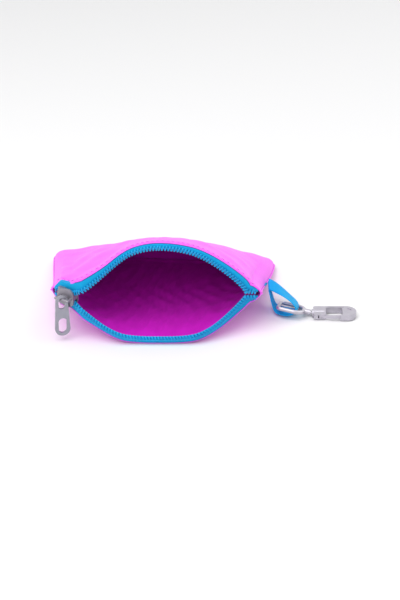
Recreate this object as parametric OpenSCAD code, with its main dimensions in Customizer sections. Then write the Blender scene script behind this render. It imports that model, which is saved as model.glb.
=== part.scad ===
// Small zip coin pouch lying on its back panel with the mouth held open.
// The bottom seam lies towards +Y, the mouth opens towards -Y, the snap hook lies towards +X.
// The origin is on the underside, in the middle of the patch that the pouch rests on.

/* [Pouch] */
// Width of the pouch across its bottom seam
pouch_w = 116; // [108:1:124]
// How far the bottom seam lies behind the origin
back_y = 42; // [38:1:46]
// How far the mouth corners lie in front of the origin
corner_y = 35; // [32:1:37]
// Height of the mouth corners, where the two lips meet
corner_z = 23; // [21:0.5:24]
// How far the left mouth corner is drawn in from the bottom corner
left_in = 5; // [3:0.5:6]
// How far the right mouth corner is drawn in from the bottom corner
right_in = 9.5; // [7:0.5:11]
// How much further back the left bottom corner lies than the right one
bottom_skew = 9; // [0:1:12]
// How fast the side seams climb towards the mouth
seam_curve = 1.6; // [1.3:0.1:2]
// How far the corner is pushed forward at the slider
nose_push = 5.5; // [4:0.5:6]

/* [Cloth] */
// Thickness of the outer cloth
cloth_t = 0.6; // [0.5:0.05:0.7]
// Thickness of the lining
lining_t = 0.4; // [0.3:0.05:0.5]
// Thickness of the folded seam allowance
seam_t = 0.8; // [0.6:0.1:1]
// Width of the seam allowance that shows outside the panels
seam_out = 1; // [0.8:0.1:1.4]
// Width of the seam allowance between the panels
seam_in = 3; // [2:0.5:4]
// Air between two layers of cloth
layer_gap = 0.08; // [0.05:0.01:0.12]

/* [Mouth] */
// Rise of the front lip above the mouth corners
front_rise = 20.5; // [18:0.5:23]
// How far the front lip leans back at its middle
front_lean = 5; // [3:0.5:7]
// How far the back lip reaches forward at its middle
back_reach = 9; // [7:0.5:10]
// Visible height of the tape and coil at a lip
band_w = 4.6; // [4.2:0.1:5]
// Place of the middle of both lips, to the left of the origin
lip_middle = 1; // [-4:0.5:4]
// Distance from a side seam to the place where the fabric edge clears the chain
fold_ramp = 5; // [4:0.5:6]
// Height from the chain to the fabric edge where the slider runs
slider_clear = 6.7; // [6.6:0.1:7.2]
// Length of the closed chain at the slider end
closed_left = 10; // [9.5:0.5:11]
// Length of the closed chain at the hook end
closed_right = 8; // [7:0.5:9]

/* [Zip] */
// Thickness of the zip tape
tape_t = 0.5; // [0.4:0.05:0.6]
// Width of the tape that is sewn under the panel
tape_tuck = 5; // [4:0.5:6]
// Width of one row of coil teeth
coil_w = 3; // [2.8:0.1:3.2]
// Height of one row of coil teeth
coil_h = 1.4; // [1.3:0.05:1.5]
// Distance from one tooth to the next
coil_pitch = 1.5; // [1.4:0.05:1.8]
// Gap between the two rows where the chain is closed
coil_gap = 0.3; // [0.3:0.05:0.4]
// Length of one stitch
stitch_len = 1.6; // [1.2:0.1:2]
// Distance from one stitch to the next
stitch_pitch = 2.4; // [2.2:0.1:3]
// Thickness of the sewing thread
thread_d = 0.3; // [0.25:0.05:0.4]

/* [Slider] */
// Length of the slider from tail to nose
slider_l = 9.6; // [9:0.2:10]
// Width of the slider at its nose
slider_w = 10; // [9.4:0.2:10.4]
// Width of the slider at its tail
slider_tail_w = 8.4; // [8:0.2:9]
// Thickness of each slider plate
plate_t = 0.9; // [0.8:0.05:1.1]
// Clear height between the two plates
plate_gap = 2.7; // [2.6:0.05:2.9]
// Distance from the left mouth corner to the slider's middle
slider_in = 8.4; // [7.8:0.2:9]
// Thickness of the bail that holds the puller
bail_d = 1.4; // [1.2:0.1:1.6]
// Height of the bail above the outer plate
bail_h = 3.6; // [3.4:0.1:3.8]

/* [Puller] */
// Length of the puller
pull_l = 22; // [20:0.2:23]
// Width of the puller at its rounded end
pull_w = 7.6; // [7:0.2:8]
// Width of the puller at its loop
pull_top_w = 6; // [5.6:0.2:6.4]
// Thickness of the puller
pull_t = 1.2; // [1:0.1:1.4]
// Width of the hole that hangs on the bail
pull_eye_w = 3.4; // [3.2:0.1:3.6]
// Length of the hole that hangs on the bail
pull_eye_l = 6; // [5.6:0.2:6.4]
// Width of the large hole in the puller
pull_hole_w = 4.2; // [3.6:0.2:4.6]
// Length of the large hole in the puller
pull_hole_l = 8; // [7:0.2:9]

/* [Strap] */
// Width of the ribbon
strap_w = 10; // [9:0.5:10]
// Thickness of the ribbon
strap_t = 0.9; // [0.7:0.1:1]
// Radius of the folded end of the ribbon at the seam
root_r = 1.05; // [1:0.05:1.2]
// Gap between the folded end and the seam
root_gap = 0.3; // [0.3:0.05:0.4]

/* [Swivel eye] */
// Diameter of the rod of the eye
eye_rod = 2; // [1.8:0.1:2.1]
// Clear width inside the eye
eye_in_w = 11.6; // [11.4:0.2:12]
// Clear length inside the eye
eye_in_l = 10.4; // [10.2:0.1:10.8]
// Diameter of the neck that turns in the hook
neck_d = 1.3; // [1.2:0.1:1.4]
// Diameter of the head on the end of the neck
neck_head_d = 1.9; // [1.8:0.05:1.95]
// Thickness of the head on the end of the neck
neck_head_t = 0.6; // [0.5:0.05:0.65]
// Length of the collar from the eye to the hook
collar_l = 2.7; // [2.4:0.1:3.2]
// Diameter of the collar where the neck meets the eye
collar_d = 2.8; // [2.6:0.1:2.9]

/* [Hook] */
// Thickness of the hook
hook_t = 3; // [3:0.1:3.2]
// Length of the hook from its base to the end of its nose
hook_l = 22.2; // [21.8:0.2:22.8]
// Width of the hook from the back of its spine to the front of its nose
hook_w = 9.6; // [9.4:0.1:9.8]
// Distance from the swivel axis to the near face of the nose
near_y = 5.2; // [5.1:0.1:5.4]
// Distance from the swivel axis to the near face of the base block
base_near = 4; // [4:0.05:4.2]
// Radius of the barrel that holds the swivel
barrel_r = 2; // [1.95:0.05:2.1]
// Length of the base block
base_l = 7; // [7:0.1:7.2]
// Thickness of the spine
spine_w = 1.7; // [1.5:0.1:1.9]
// Length of the opening between the base block and the nose
hook_open = 8.2; // [8:0.2:8.6]
// Running clearance of pins and necks, on the radius
run_gap = 0.08; // [0.05:0.01:0.1]
// Width of the gate bar
gate_w = 1.3; // [1.2:0.1:1.4]
// Thickness of the gate bar
gate_t = 1.5; // [1.4:0.05:1.5]
// Diameter of the gate pin
gate_pin_d = 1; // [0.9:0.05:1.1]
// How far the gate bows outwards
gate_bow = 0.9; // [0.8:0.1:1]
// Wire of the gate spring
spring_wire = 0.3; // [0.25:0.05:0.3]
// Outer diameter of the gate spring
spring_d = 1.3; // [1.2:0.05:1.3]
// Turns of the gate spring
spring_turns = 3; // [2:1:3]

/* [Hidden] */
$fn = 40;

// Layers, counted inwards from the middle of the outer cloth.
tape_off = cloth_t / 2 + layer_gap + tape_t / 2;
lining_off = tape_off + tape_t / 2 + layer_gap + lining_t / 2;
slope_room = 1.15;
side_off = slope_room * (lining_off + lining_t / 2 + layer_gap + seam_t / 2);
floor_z = cloth_t / 2;
bottom_z = floor_z + side_off;

// Mouth corners and the ends of the open stretch of both lips.
left_x = -pouch_w / 2 + left_in;
right_x = pouch_w / 2 - right_in;
mouth_w = right_x - left_x;
chain_left = left_x + closed_left;
chain_right = right_x - closed_right;
fold_left_x = chain_left - 1;
fold_right_x = chain_right + 3;
kink_x = chain_left + 5;
clear_run = 14;
bend_run = 26;
tail_back = 4;
coil_rise = front_rise + 0.5;
coil_rest = band_w + 0.3;
front_pinch = 1.2;
front_round = 0.68;
front_arch = 0.75;
back_flat = 3;
back_pinch = 1.3;
front_y_power = 2;
draw_in = 1.5;

// Place and lean of the eye and hook, from the root of the strap and the floor.
hook_far = 21.2;
hook_near = 12.8;
eye_yaw = 12.9;
eye_pitch = 8;
eye_roll = 16.5;
neck_tilt = 16;
end_wall = 1;
collar_gap = 1.1;
head_far = 1.8;
head_room_r = 1.5;
head_room_l = 1.6;
barrel_l = 6.4;
block_x = 0.8;
shoulder_w = 1.2;
tongue_l = 1.2;
tongue_w = 0.55;
tip_gap = 0.12;
nose_gap = 0.2;
gate_x = 4.2;
gate_y = -2.6;
boss_r = 1.2;
slot_gap = 0.12;
gate_open_deg = 30;
pin_seat = 0.01;
spring_x = 6;
spring_end = 0.1;
groove_w = 0.4;
groove_deep = 0.3;
nose_groove_r = 2.9;
nose_groove_w = 1;
nose_groove_from = 15;
nose_groove_to = 75;
lean_speed = 1.6;

function lerp(a, b, s) = a + (b - a) * s;
function clip(s) = min(1, max(0, s));
function ease(s) = let (c = clip(s)) c * c * (3 - 2 * c);
function unit(v) = v / norm(v);

// Side and bottom outline of the pouch: t runs from the bottom seam to the mouth.
function draw(t) = pow(sin(90 * clip(t)), draw_in);
function left_edge(t) = lerp(-pouch_w / 2, left_x, draw(t));
function right_edge(t) = lerp(pouch_w / 2, right_x, draw(t));
function plan_x(u, t) = lerp(left_edge(t), right_edge(t), (u + 1) / 2);
function mouth_x(u) = lerp(left_x, right_x, (u + 1) / 2);
function seam_z(t) = lerp(bottom_z, corner_z, pow(max(0, t), seam_curve));
function corner_bend(x) =
    x < kink_x
    ? lerp(tail_back, -nose_push, clip((x - left_x) / (kink_x - left_x)))
    : -nose_push * (1 - ease((x - kink_x) / bend_run));
function plan_y(u, t) =
    lerp(back_y - bottom_skew / 2 * u, -corner_y, t) + corner_bend(mouth_x(u)) * pow(max(0, t), 3);

// Opening of the mouth along its width: 0 at a closed corner, 1 at the middle of the lip.
function lip_side(x, a, b) =
    x < -lip_middle ? clip((x - a) / (-lip_middle - a)) : clip((b - x) / (b + lip_middle));
function front_open(x, a, b) =
    pow(sin(90 * lip_side(x, a, b)), x < -lip_middle ? front_pinch : front_round);
function back_open(x, a, b) =
    pow(1 - pow(1 - lip_side(x, a, b), back_flat), x < -lip_middle ? back_pinch : 1);
function lean_open(x) = ease(lean_speed * lip_side(x, kink_x, chain_right));
function fold_top(x) = lerp(slider_clear, band_w, ease((x - kink_x) / clear_run));
function fold_lift(x) =
    lerp(side_off, fold_top(x), ease(min(x - left_x, right_x - x) / fold_ramp));

// Middle surface of the outer cloth of each panel.
function front_at(u, t) =
    let (x = mouth_x(u), g = front_open(x, fold_left_x, fold_right_x),
         r = pow(sin(90 * t), front_arch))
    [plan_x(u, t), plan_y(u, t) + front_lean * lean_open(x) * pow(t, front_y_power),
     seam_z(t) + lerp(side_off, fold_lift(x), r) + front_rise * g * r];
function back_at(u, t) =
    let (x = mouth_x(u), g = back_open(x, fold_left_x, fold_right_x),
         low = seam_z(t) - lerp(side_off, fold_lift(x), t))
    [plan_x(u, t), plan_y(u, t) - back_reach * lean_open(x) * t, lerp(low, floor_z, g)];
function seam_at(u, t) = [plan_x(u, t), plan_y(u, t), seam_z(t)];

// Free edges of the coil rows, level with the mouth corners where the chain is closed.
function coil_edge(side, u) =
    let (x = mouth_x(u), f = front_open(x, chain_left, chain_right),
         b = back_open(x, chain_left, chain_right))
    side > 0
    ? [x, plan_y(u, 1) + front_lean * lean_open(x), corner_z + coil_gap / 2 + coil_rise * f]
    : [x, plan_y(u, 1) - back_reach * lean_open(x), lerp(corner_z - coil_gap / 2, coil_rest, b)];
function lip_edge(side, u) = side > 0 ? front_at(u, 1) : back_at(u, 1);

// Surfaces by number: 1 front panel, -1 back panel, 0 seam allowance.
function surf(k, u, t) = k > 0 ? front_at(u, t) : k < 0 ? back_at(u, t) : seam_at(u, t);
function surf_normal(k, u, t) =
    let (e = 0.004, u0 = k == 0 ? u - e : max(-1, u - e), u1 = k == 0 ? u + e : min(1, u + e),
         t0 = k == 0 ? t - e : max(0, t - e), t1 = k == 0 ? t + e : min(1, t + e))
    unit(cross(surf(k, u1, t) - surf(k, u0, t), surf(k, u, t0) - surf(k, u, t1)));
// A point off the middle surface; a positive offset goes towards the inside of the pouch.
function off_surf(k, u, t, off) =
    surf(k, u, t) + surf_normal(k, u, t) * (k > 0 ? -off : off);

// Closed skin between two grids of points, in triangles; each grid has nu by nt points.
module slab(low, high, nu, nt) {
    n = nu * nt;
    cell = [for (i = [0 : nu - 2]) for (j = [0 : nt - 2])
        let (a = i * nt + j, b = a + nt)
        [a, a + 1, b, b + 1]];
    bottom = [for (c = cell) each [[c[0], c[1], c[2]], [c[1], c[3], c[2]]]];
    top = [for (c = cell) each [[n + c[0], n + c[2], n + c[1]], [n + c[1], n + c[2], n + c[3]]]];
    rim = concat(
        [for (i = [0 : nu - 1]) i * nt],
        [for (j = [1 : nt - 1]) (nu - 1) * nt + j],
        [for (i = [nu - 2 : -1 : 0]) i * nt + nt - 1],
        [for (j = [nt - 2 : -1 : 1]) j]
    );
    m = len(rim);
    side = [for (i = [0 : m - 1])
        let (a = rim[i], b = rim[(i + 1) % m])
        each [[a, b, n + a], [b, n + b, n + a]]];
    polyhedron(concat(low, high), concat(bottom, top, side), convexity = 6);
}

// Sheet of cloth along a surface, spread between u0 and u1, with its rows at the places ts.
function spread(i, n, a, b) = lerp(a, b, (1 - cos(180 * i / (n - 1))) / 2);
function rows(a, b, n) = [for (j = [0 : n - 1]) lerp(a, b, j / (n - 1))];
module cloth(k, off, thick, u0, u1, ts, nu) {
    nt = len(ts);
    us = [for (i = [0 : nu - 1]) spread(i, nu, u0, u1)];
    near = [for (u = us) for (t = ts) off_surf(k, u, t, off - thick / 2)];
    far = [for (u = us) for (t = ts) off_surf(k, u, t, off + thick / 2)];
    if (k > 0) slab(far, near, nu, nt);
    else slab(near, far, nu, nt);
}

// One straight piece of thread: a thin block with its length along one direction.
module thread(p, along, up, l, w) {
    a = unit(along) * l / 2;
    h = unit(up);
    b = unit(cross(h, along)) * w / 2;
    low = [p - a - b, p - a + b, p + a - b, p + a + b];
    high = [for (q = low) q + h * w];
    slab(low, high, 2, 2);
}

// Local directions at the free edge of a coil row.
step_u = 0.006;
function coil_dir(side, u) = unit(coil_edge(side, u + step_u) - coil_edge(side, u - step_u));
function band_dir(side, u) =
    let (d = coil_dir(side, u), v = lip_edge(side, u) - coil_edge(side, u))
    unit(v - d * (v * d));
function band_out(side, u) = side * unit(cross(coil_dir(side, u), band_dir(side, u)));

// Places at equal distances along a coil row, found from its running length.
x_of_u = mouth_w / 2;
coil_u0 = -1 + 2.5 / x_of_u;
coil_u1 = 1 - 2.5 / x_of_u;
fine = 240;
function fine_u(i) = lerp(coil_u0, coil_u1, i / fine);
function coil_step(side, i) =
    i < fine ? norm(coil_edge(side, fine_u(i + 1)) - coil_edge(side, fine_u(i))) : 0;
function running(side) =
    [for (i = 0, s = 0; i <= fine; s = s + coil_step(side, i), i = i + 1) [s, fine_u(i)]];
run_front = running(1);
run_back = running(-1);
function run_of(side) = side > 0 ? run_front : run_back;
function run_len(side) = run_of(side)[fine][0];
function u_at(side, s) = lookup(s, run_of(side));

// Zip tape: tucked between cloth and lining, turned over the lip and down to the coil.
// It shares its columns with the panels, and stops a few columns short of the corners.
panel_nu = 40;
tape_skip = 3;
tape_nu = panel_nu - 2 * tape_skip;
tuck_t = tape_tuck / (back_y + corner_y + back_reach);
coil_bare = 0.9;
module tape(side) {
    us = [for (i = [tape_skip : panel_nu - 1 - tape_skip]) spread(i, panel_nu, -1, 1)];
    stations = [for (u = us)
        let (
            out = band_out(side, u),
            tuck = off_surf(side, u, 1 - tuck_t, tape_off),
            turn = off_surf(side, u, 1, tape_off),
            up = surf_normal(side, u, 1) * side,
            edge = coil_edge(side, u) + band_dir(side, u) * coil_bare
        )
        [[tuck, surf_normal(side, u, 1 - tuck_t) * side], [turn, unit(up + out)], [edge, out]]];
    inner = [for (r = stations) for (c = r) c[0] - c[1] * tape_t / 2];
    outer = [for (r = stations) for (c = r) c[0] + c[1] * tape_t / 2];
    if (side > 0) slab(inner, outer, tape_nu, 3);
    else slab(outer, inner, tape_nu, 3);
}

// Coil row: a flat tube whose section swells at each tooth.
coil_sides = 6;
coil_waist = 0.62;
coil_seat = tape_t / 2 + 0.06 + coil_h / 2;
module coil(side) {
    rings = 2 * floor(run_len(side) / coil_pitch) + 1;
    points = [for (k = [0 : rings - 1])
        let (
            u = u_at(side, k * coil_pitch / 2),
            q = band_dir(side, u),
            out = band_out(side, u),
            mid = coil_edge(side, u) + q * coil_w / 2 + out * coil_seat,
            swell = k % 2 == 0 ? 1 : coil_waist
        )
        for (a = [0 : coil_sides - 1])
            mid + q * (coil_w / 2 * swell * cos(360 * a / coil_sides))
                + out * (coil_h / 2 * swell * sin(360 * a / coil_sides))];
    turn = side;
    body = [for (k = [0 : rings - 2]) for (a = [0 : coil_sides - 1])
        let (p = k * coil_sides + a, q = k * coil_sides + (a + 1) % coil_sides,
             r = p + coil_sides, s = q + coil_sides)
        each [[p, q, r], [q, s, r]]];
    first = [for (a = [1 : coil_sides - 2]) [0, a + 1, a]];
    last_ring = (rings - 1) * coil_sides;
    last = [for (a = [1 : coil_sides - 2]) [last_ring, last_ring + a, last_ring + a + 1]];
    faces = concat(body, first, last);
    polyhedron(points, turn > 0 ? faces : [for (f = faces) [f[0], f[2], f[1]]], convexity = 8);
}

// Thread that sews a coil row to its tape, one short piece for each tooth.
dot_l = 0.9;
sew_line = 0.66;
module coil_stitching(side) {
    first = ceil((kink_x - left_x + 3) / coil_pitch);
    for (k = [first : floor(run_len(side) / coil_pitch) - 3]) {
        u = u_at(side, (k + 0.5) * coil_pitch);
        out = band_out(side, u);
        p = coil_edge(side, u) + band_dir(side, u) * (coil_w * sew_line)
            + out * (coil_seat + coil_h / 2 * 0.72);
        thread(p, coil_dir(side, u), out, dot_l, thread_d);
    }
}

// Topstitching along a lip: outside on the front panel, inside on the back panel.
stitch_in = 1.8;
stitch_air = 0.2;
module topstitch(side) {
    t = 1 - stitch_in / (back_y + corner_y);
    off = side > 0 ? -cloth_t / 2 - stitch_air : lining_off + lining_t / 2 + stitch_air;
    count = floor((mouth_w - 2 * fold_ramp) / stitch_pitch);
    for (i = [0 : count - 1]) {
        u = -1 + (fold_ramp + (i + 0.5) * stitch_pitch) / x_of_u;
        p = off_surf(side, u, t, off);
        along = surf(side, u + step_u, t) - surf(side, u - step_u, t);
        thread(p, along, surf_normal(side, u, t), stitch_len, thread_d);
    }
}

// Seam allowances: folded strips between the linings that stand out a little at the edge.
side_nt = 20;
module side_seam(dir) {
    a = -1 - seam_out / x_of_u;
    b = -1 + seam_in / x_of_u;
    if (dir < 0) cloth(0, 0, seam_t, a, b, rows(0, 1, side_nt), 5);
    else cloth(0, 0, seam_t, -b, -a, rows(0, 1, side_nt), 5);
}
module bottom_strip() {
    span = pouch_w / 2 - seam_in * pouch_w / mouth_w - layer_gap;
    d = back_y + corner_y;
    u = span / (pouch_w / 2);
    cloth(0, 0, seam_t, -u, u, rows(-seam_out / d, seam_in / d, 4), 16);
}
module seam_threads() {
    side_u = 1 + seam_out * 0.45 / x_of_u;
    side_count = floor((back_y + corner_y) / stitch_pitch) - 1;
    for (dir = [-1, 1]) for (i = [1 : side_count]) {
        t = i * stitch_pitch / (back_y + corner_y);
        if (dir < 0 || abs(t - root_t) > root_free)
            thread(off_surf(0, dir * side_u, t, seam_t / 2 + 0.02),
                   surf(0, dir * side_u, t + 0.01) - surf(0, dir * side_u, t - 0.01),
                   surf_normal(0, dir * side_u, t), stitch_len, thread_d);
    }
    bottom_count = floor(pouch_w / stitch_pitch) - 6;
    bottom_t = -seam_out * 0.45 / (back_y + corner_y);
    for (i = [0 : bottom_count]) {
        u = lerp(-1, 1, (i + 3) / (bottom_count + 6));
        thread(off_surf(0, u, bottom_t, seam_t / 2 + 0.02),
               [1, -bottom_skew / pouch_w, 0], surf_normal(0, u, bottom_t), stitch_len, thread_d);
    }
}
tack_count = 5;
tack_l = 0.8;
tack_pitch = 0.9;
module tack() {
    for (i = [0 : tack_count - 1]) {
        t = root_t + (i - (tack_count - 1) / 2) * tack_pitch / (back_y + corner_y);
        u = 1 + seam_out * 0.5 / x_of_u;
        thread(off_surf(0, u, t, seam_t / 2 + 0.02), [1, 0, 0], surf_normal(0, u, t), tack_l, thread_d);
    }
}

// Slider: its length follows the closed chain, its width stands upright.
slider_x = left_x + slider_in;
slider_u = slider_in / x_of_u - 1;
slider_turn = -atan((tail_back + nose_push) / (kink_x - left_x));
chain_mid = tape_t / 2 + 0.06 + coil_h - (tape_t + 0.06 + coil_h) / 2;
plate_in = plate_gap / 2;
slider_at = [slider_x, plan_y(slider_u, 1), corner_z];
slider_out = [sin(slider_turn), -cos(slider_turn), 0];
slider_mid = slider_at + slider_out * chain_mid;
// Local frame of the slider: X towards the nose, Y out of the pouch, Z across the chain.
module at_slider() translate(slider_mid) rotate([0, 0, slider_turn]) mirror([0, 1, 0]) children();

plate_steps = 24;
plate_power = 3.2;
function plate_point(a) =
    let (c = cos(a), s = sin(a),
         k = pow(pow(abs(c), plate_power) + pow(abs(s), plate_power), -1 / plate_power),
         x = slider_l / 2 * k * c, w = lerp(slider_tail_w, slider_w, clip(x / slider_l + 0.5)))
    [x, w / 2 * k * s];
module plate_shape() polygon([for (i = [0 : plate_steps - 1]) plate_point(360 * (i + 0.5) / plate_steps)]);
// Stands a flat outline up: its Y becomes the local Z, its thickness runs along the local Y.
module upright(from, thick)
    translate([0, from + thick, 0]) rotate([90, 0, 0]) linear_extrude(thick) children();

wedge_tip = 2.4;
wedge_end = 4.4;
wedge_half = 1.1;
wedge_tip_half = 0.25;
flange_t = 0.8;
flange_l = 3.6;
flange_end = -slider_l / 2 + 0.4 + flange_l;
tape_room = 0.15;
bail_span = 7;
bail_bar = plate_in + plate_t + bail_h - bail_d / 2;
module slider_casting() {
    upright(plate_in, plate_t) plate_shape();
    upright(-plate_in - plate_t, plate_t) plate_shape();
    upright(-plate_in, plate_gap)
        polygon([
            [wedge_tip, -wedge_tip_half], [wedge_end, -wedge_half],
            [wedge_end, wedge_half], [wedge_tip, wedge_tip_half]
        ]);
    low = tape_t / 2 + tape_room - chain_mid;
    for (s = [-1, 1])
        translate([flange_end - flange_l, low, s > 0 ? slider_tail_w / 2 - flange_t : -slider_tail_w / 2])
            cube([flange_l, plate_in + plate_t / 2 - low, flange_t]);
}
// Bail: a straight bar on two legs, parallel to the slider's length.
module bail() {
    top = plate_in + plate_t;
    translate([-bail_span / 2, bail_bar, 0]) rotate([0, 90, 0]) cylinder(d = bail_d, h = bail_span);
    for (s = [-1, 1]) translate([s * bail_span / 2, 0, 0]) {
        translate([0, bail_bar, 0]) sphere(d = bail_d);
        translate([0, bail_bar, 0]) rotate([90, 0, 0]) cylinder(d = bail_d, h = bail_bar - top);
    }
}

// Puller: hangs with its loop on the bail, turned a little towards the front.
pull_turn = 38;
pull_slack = 0.35;
pull_loop_z = -(pull_eye_w / 2 - bail_d / 2 - pull_slack);
pull_low_z = pull_loop_z + pull_top_w / 2 - pull_l + pull_w / 2;
pull_arc_n = 12;
module pull_outline() {
    r0 = pull_top_w / 2;
    r1 = pull_w / 2;
    polygon(concat(
        arc(0, pull_loop_z, r0, 0, 180, pull_arc_n),
        arc(0, pull_low_z, r1, -180, 0, pull_arc_n)
    ));
}
module slot_shape(w, l, top) {
    translate([0, top - w / 2]) circle(d = w);
    translate([0, top - l + w / 2]) circle(d = w);
    translate([-w / 2, top - l + w / 2]) square([w, l - w]);
}
module puller() {
    eye_top = pull_loop_z + pull_eye_w / 2;
    hole_top = pull_low_z - pull_w / 2 + (pull_w - pull_hole_w) / 2 + pull_hole_l;
    translate([0, bail_bar, 0]) rotate([0, 0, pull_turn]) rotate([0, 0, 90])
        translate([0, pull_t / 2, 0]) rotate([90, 0, 0]) linear_extrude(pull_t) difference() {
            pull_outline();
            slot_shape(pull_eye_w, pull_eye_l, eye_top);
            slot_shape(pull_hole_w, pull_hole_l, hole_top);
        }
}

// Strap: a ribbon folded round the swivel eye, with both ends at the side seam.
root_t = 0.575;
root_free = 0.08;
root_seam = surf(0, 1 + seam_out / x_of_u, root_t);
root_at = [root_seam[0] + root_gap + root_r, root_seam[1], root_seam[2]];
ply_step = root_r - strap_t / 2;
root_across = [0, 1, 0.1];
eye_across = [0.18, 0.94, -0.28];
// Stations along the ribbon from its upper end to its lower end, measured from the root:
// place, then how far the ribbon has turned from the seam's direction to the eye's.
strap_route = [
    [[0, 0, ply_step], 0],
    [[2.6, -2.4, ply_step - 0.1], 0.1],
    [[6.5, -5.8, -0.6], 0.5],
    [[10.8, -9, -2.9], 0.9],
    [[13.1, -10.1, -5], 1],
    [[13.9, -10.9, -7.4], 1],
    [[12.6, -11.1, -8.9], 0.8],
    [[9.5, -10.5, -9.45], 0.5],
    [[6.4, -9.2, -9.6], 0.45],
    [[3.2, -7.3, -8.8], 0.4],
    [[1.6, -4.4, -5.6], 0.3],
    [[0.6, -1.6, -2.3], 0.1],
    [[0, 0, -ply_step], 0],
];
// Smooth curve through the stations.
function spline(p0, p1, p2, p3, s) =
    0.5 * (2 * p1 + (p2 - p0) * s + (2 * p0 - 5 * p1 + 4 * p2 - p3) * s * s
           + (3 * p1 - p0 - 3 * p2 + p3) * s * s * s);
function station(i) = strap_route[max(0, min(len(strap_route) - 1, i))];
function strap_place(s) =
    let (i = min(len(strap_route) - 2, floor(s)), f = s - i)
    root_at + spline(station(i - 1)[0], station(i)[0], station(i + 1)[0], station(i + 2)[0], f);
function strap_turn(s) =
    let (i = min(len(strap_route) - 2, floor(s)))
    lerp(station(i)[1], station(i + 1)[1], s - i);
strap_rings = 49;
module ribbon() {
    last = len(strap_route) - 1;
    rings = [for (k = [0 : strap_rings - 1])
        let (
            s = last * k / (strap_rings - 1),
            p = strap_place(s),
            d = strap_place(min(last, s + 0.02)) - strap_place(max(0, s - 0.02)),
            across = unit(lerp(root_across, eye_across, ease(strap_turn(s)))),
            up = unit(cross(d, across))
        )
        [p - across * strap_w / 2, p + across * strap_w / 2, up]];
    low = [for (r = rings) each [r[1] - r[2] * strap_t / 2, r[0] - r[2] * strap_t / 2]];
    high = [for (r = rings) each [r[1] + r[2] * strap_t / 2, r[0] + r[2] * strap_t / 2]];
    slab(low, high, strap_rings, 2);
}

// Swivel joint: the neck turns and tilts a little in a waisted hole in the end of the barrel.
hook_at = [root_at[0] + hook_far, root_at[1] - hook_near, barrel_r];
swivel_at = hook_at + [end_wall / 2, 0, 0];
// Local frame of the eye: X towards the ribbon, Y along its bars, Z across its plane.
module at_eye() translate(swivel_at) rotate([eye_roll, -eye_pitch, 180 - eye_yaw]) children();

shoulder_r = 4.4;
corner_r = 2;
eye_half = eye_in_w / 2 + eye_rod / 2;
eye_bar_r = collar_gap + collar_l + eye_rod / 2;
eye_bar_l = eye_bar_r + eye_in_l + eye_rod;
module rod(d, l) cylinder(d = d, h = l);
module bend(r, from)
    rotate([0, 0, from]) rotate_extrude(angle = 90) translate([r, 0]) circle(d = eye_rod);
module eye_ring() {
    translate([eye_bar_l, -(eye_half - corner_r), 0]) rotate([-90, 0, 0])
        rod(eye_rod, 2 * (eye_half - corner_r));
    translate([eye_bar_r, -(eye_half - shoulder_r), 0]) rotate([-90, 0, 0])
        rod(eye_rod, 2 * (eye_half - shoulder_r));
    for (s = [-1, 1]) {
        translate([eye_bar_r + shoulder_r, s * eye_half, 0]) rotate([0, 90, 0])
            rod(eye_rod, eye_bar_l - corner_r - eye_bar_r - shoulder_r);
        translate([eye_bar_l - corner_r, s * (eye_half - corner_r), 0])
            bend(corner_r, s > 0 ? 0 : -90);
        translate([eye_bar_r + shoulder_r, s * (eye_half - shoulder_r), 0])
            bend(shoulder_r, s > 0 ? 90 : 180);
    }
}
module eye_neck() {
    translate([collar_gap, 0, 0]) rotate([0, 90, 0]) rod(collar_d, collar_l + eye_rod / 2);
    translate([-head_far, 0, 0]) rotate([0, 90, 0]) rod(neck_d, head_far + collar_gap + 0.2);
    translate([-head_far, 0, 0]) rotate([0, 90, 0]) rod(neck_head_d, neck_head_t);
}

// Hook outline in its own plane: X towards the nose, Y towards the spine.
module at_hook() translate(hook_at) children();
function arc(x, y, r, a0, a1, n) =
    [for (i = [0 : n]) let (a = lerp(a0, a1, i / n)) [x + r * cos(a), y + r * sin(a)]];
spine_y = hook_w - near_y;
inner_y = spine_y - spine_w;
nose_x = base_l + hook_open;
arc_n = 14;
edge_r = 0.5;
module hook_outline() {
    far_r = spine_y + 0.6;
    near_r = near_y - 0.6;
    polygon(concat(
        arc(hook_l - far_r, -0.6, far_r, 90, 0, arc_n),
        arc(hook_l - near_r, -0.6, near_r, 0, -90, arc_n),
        [[nose_x - tongue_l, -near_y], [nose_x - tongue_l, tongue_w - near_y],
         [nose_x, tongue_w - near_y]],
        arc(nose_x - edge_r, inner_y - edge_r, edge_r, 0, 90, 4),
        arc(base_l + edge_r, inner_y - edge_r, edge_r, 90, 180, 4),
        arc(base_l - edge_r, edge_r - base_near, edge_r, 0, -90, 4),
        arc(block_x + edge_r, edge_r - base_near, edge_r, -90, -180, 4),
        arc(block_x + shoulder_w, spine_y - shoulder_w, shoulder_w, 180, 90, 6)
    ));
}
module gate_slot() {
    reach = base_l - gate_x;
    rise = gate_open_deg - gate_drop;
    top = gate_y + reach * tan(rise) + gate_w / 2 / cos(rise) + slot_gap;
    h = gate_t + 2 * run_gap;
    translate([gate_x, -base_near - 1, -h / 2]) cube([reach + 1, base_near + 1 + top, h]);
    translate([gate_x, gate_y, -h / 2]) cylinder(r = boss_r + slot_gap, h = h);
    translate([gate_x - boss_r - slot_gap, -base_near - 1, -h / 2])
        cube([boss_r + slot_gap, base_near + 1 + gate_y, h]);
}
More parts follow.
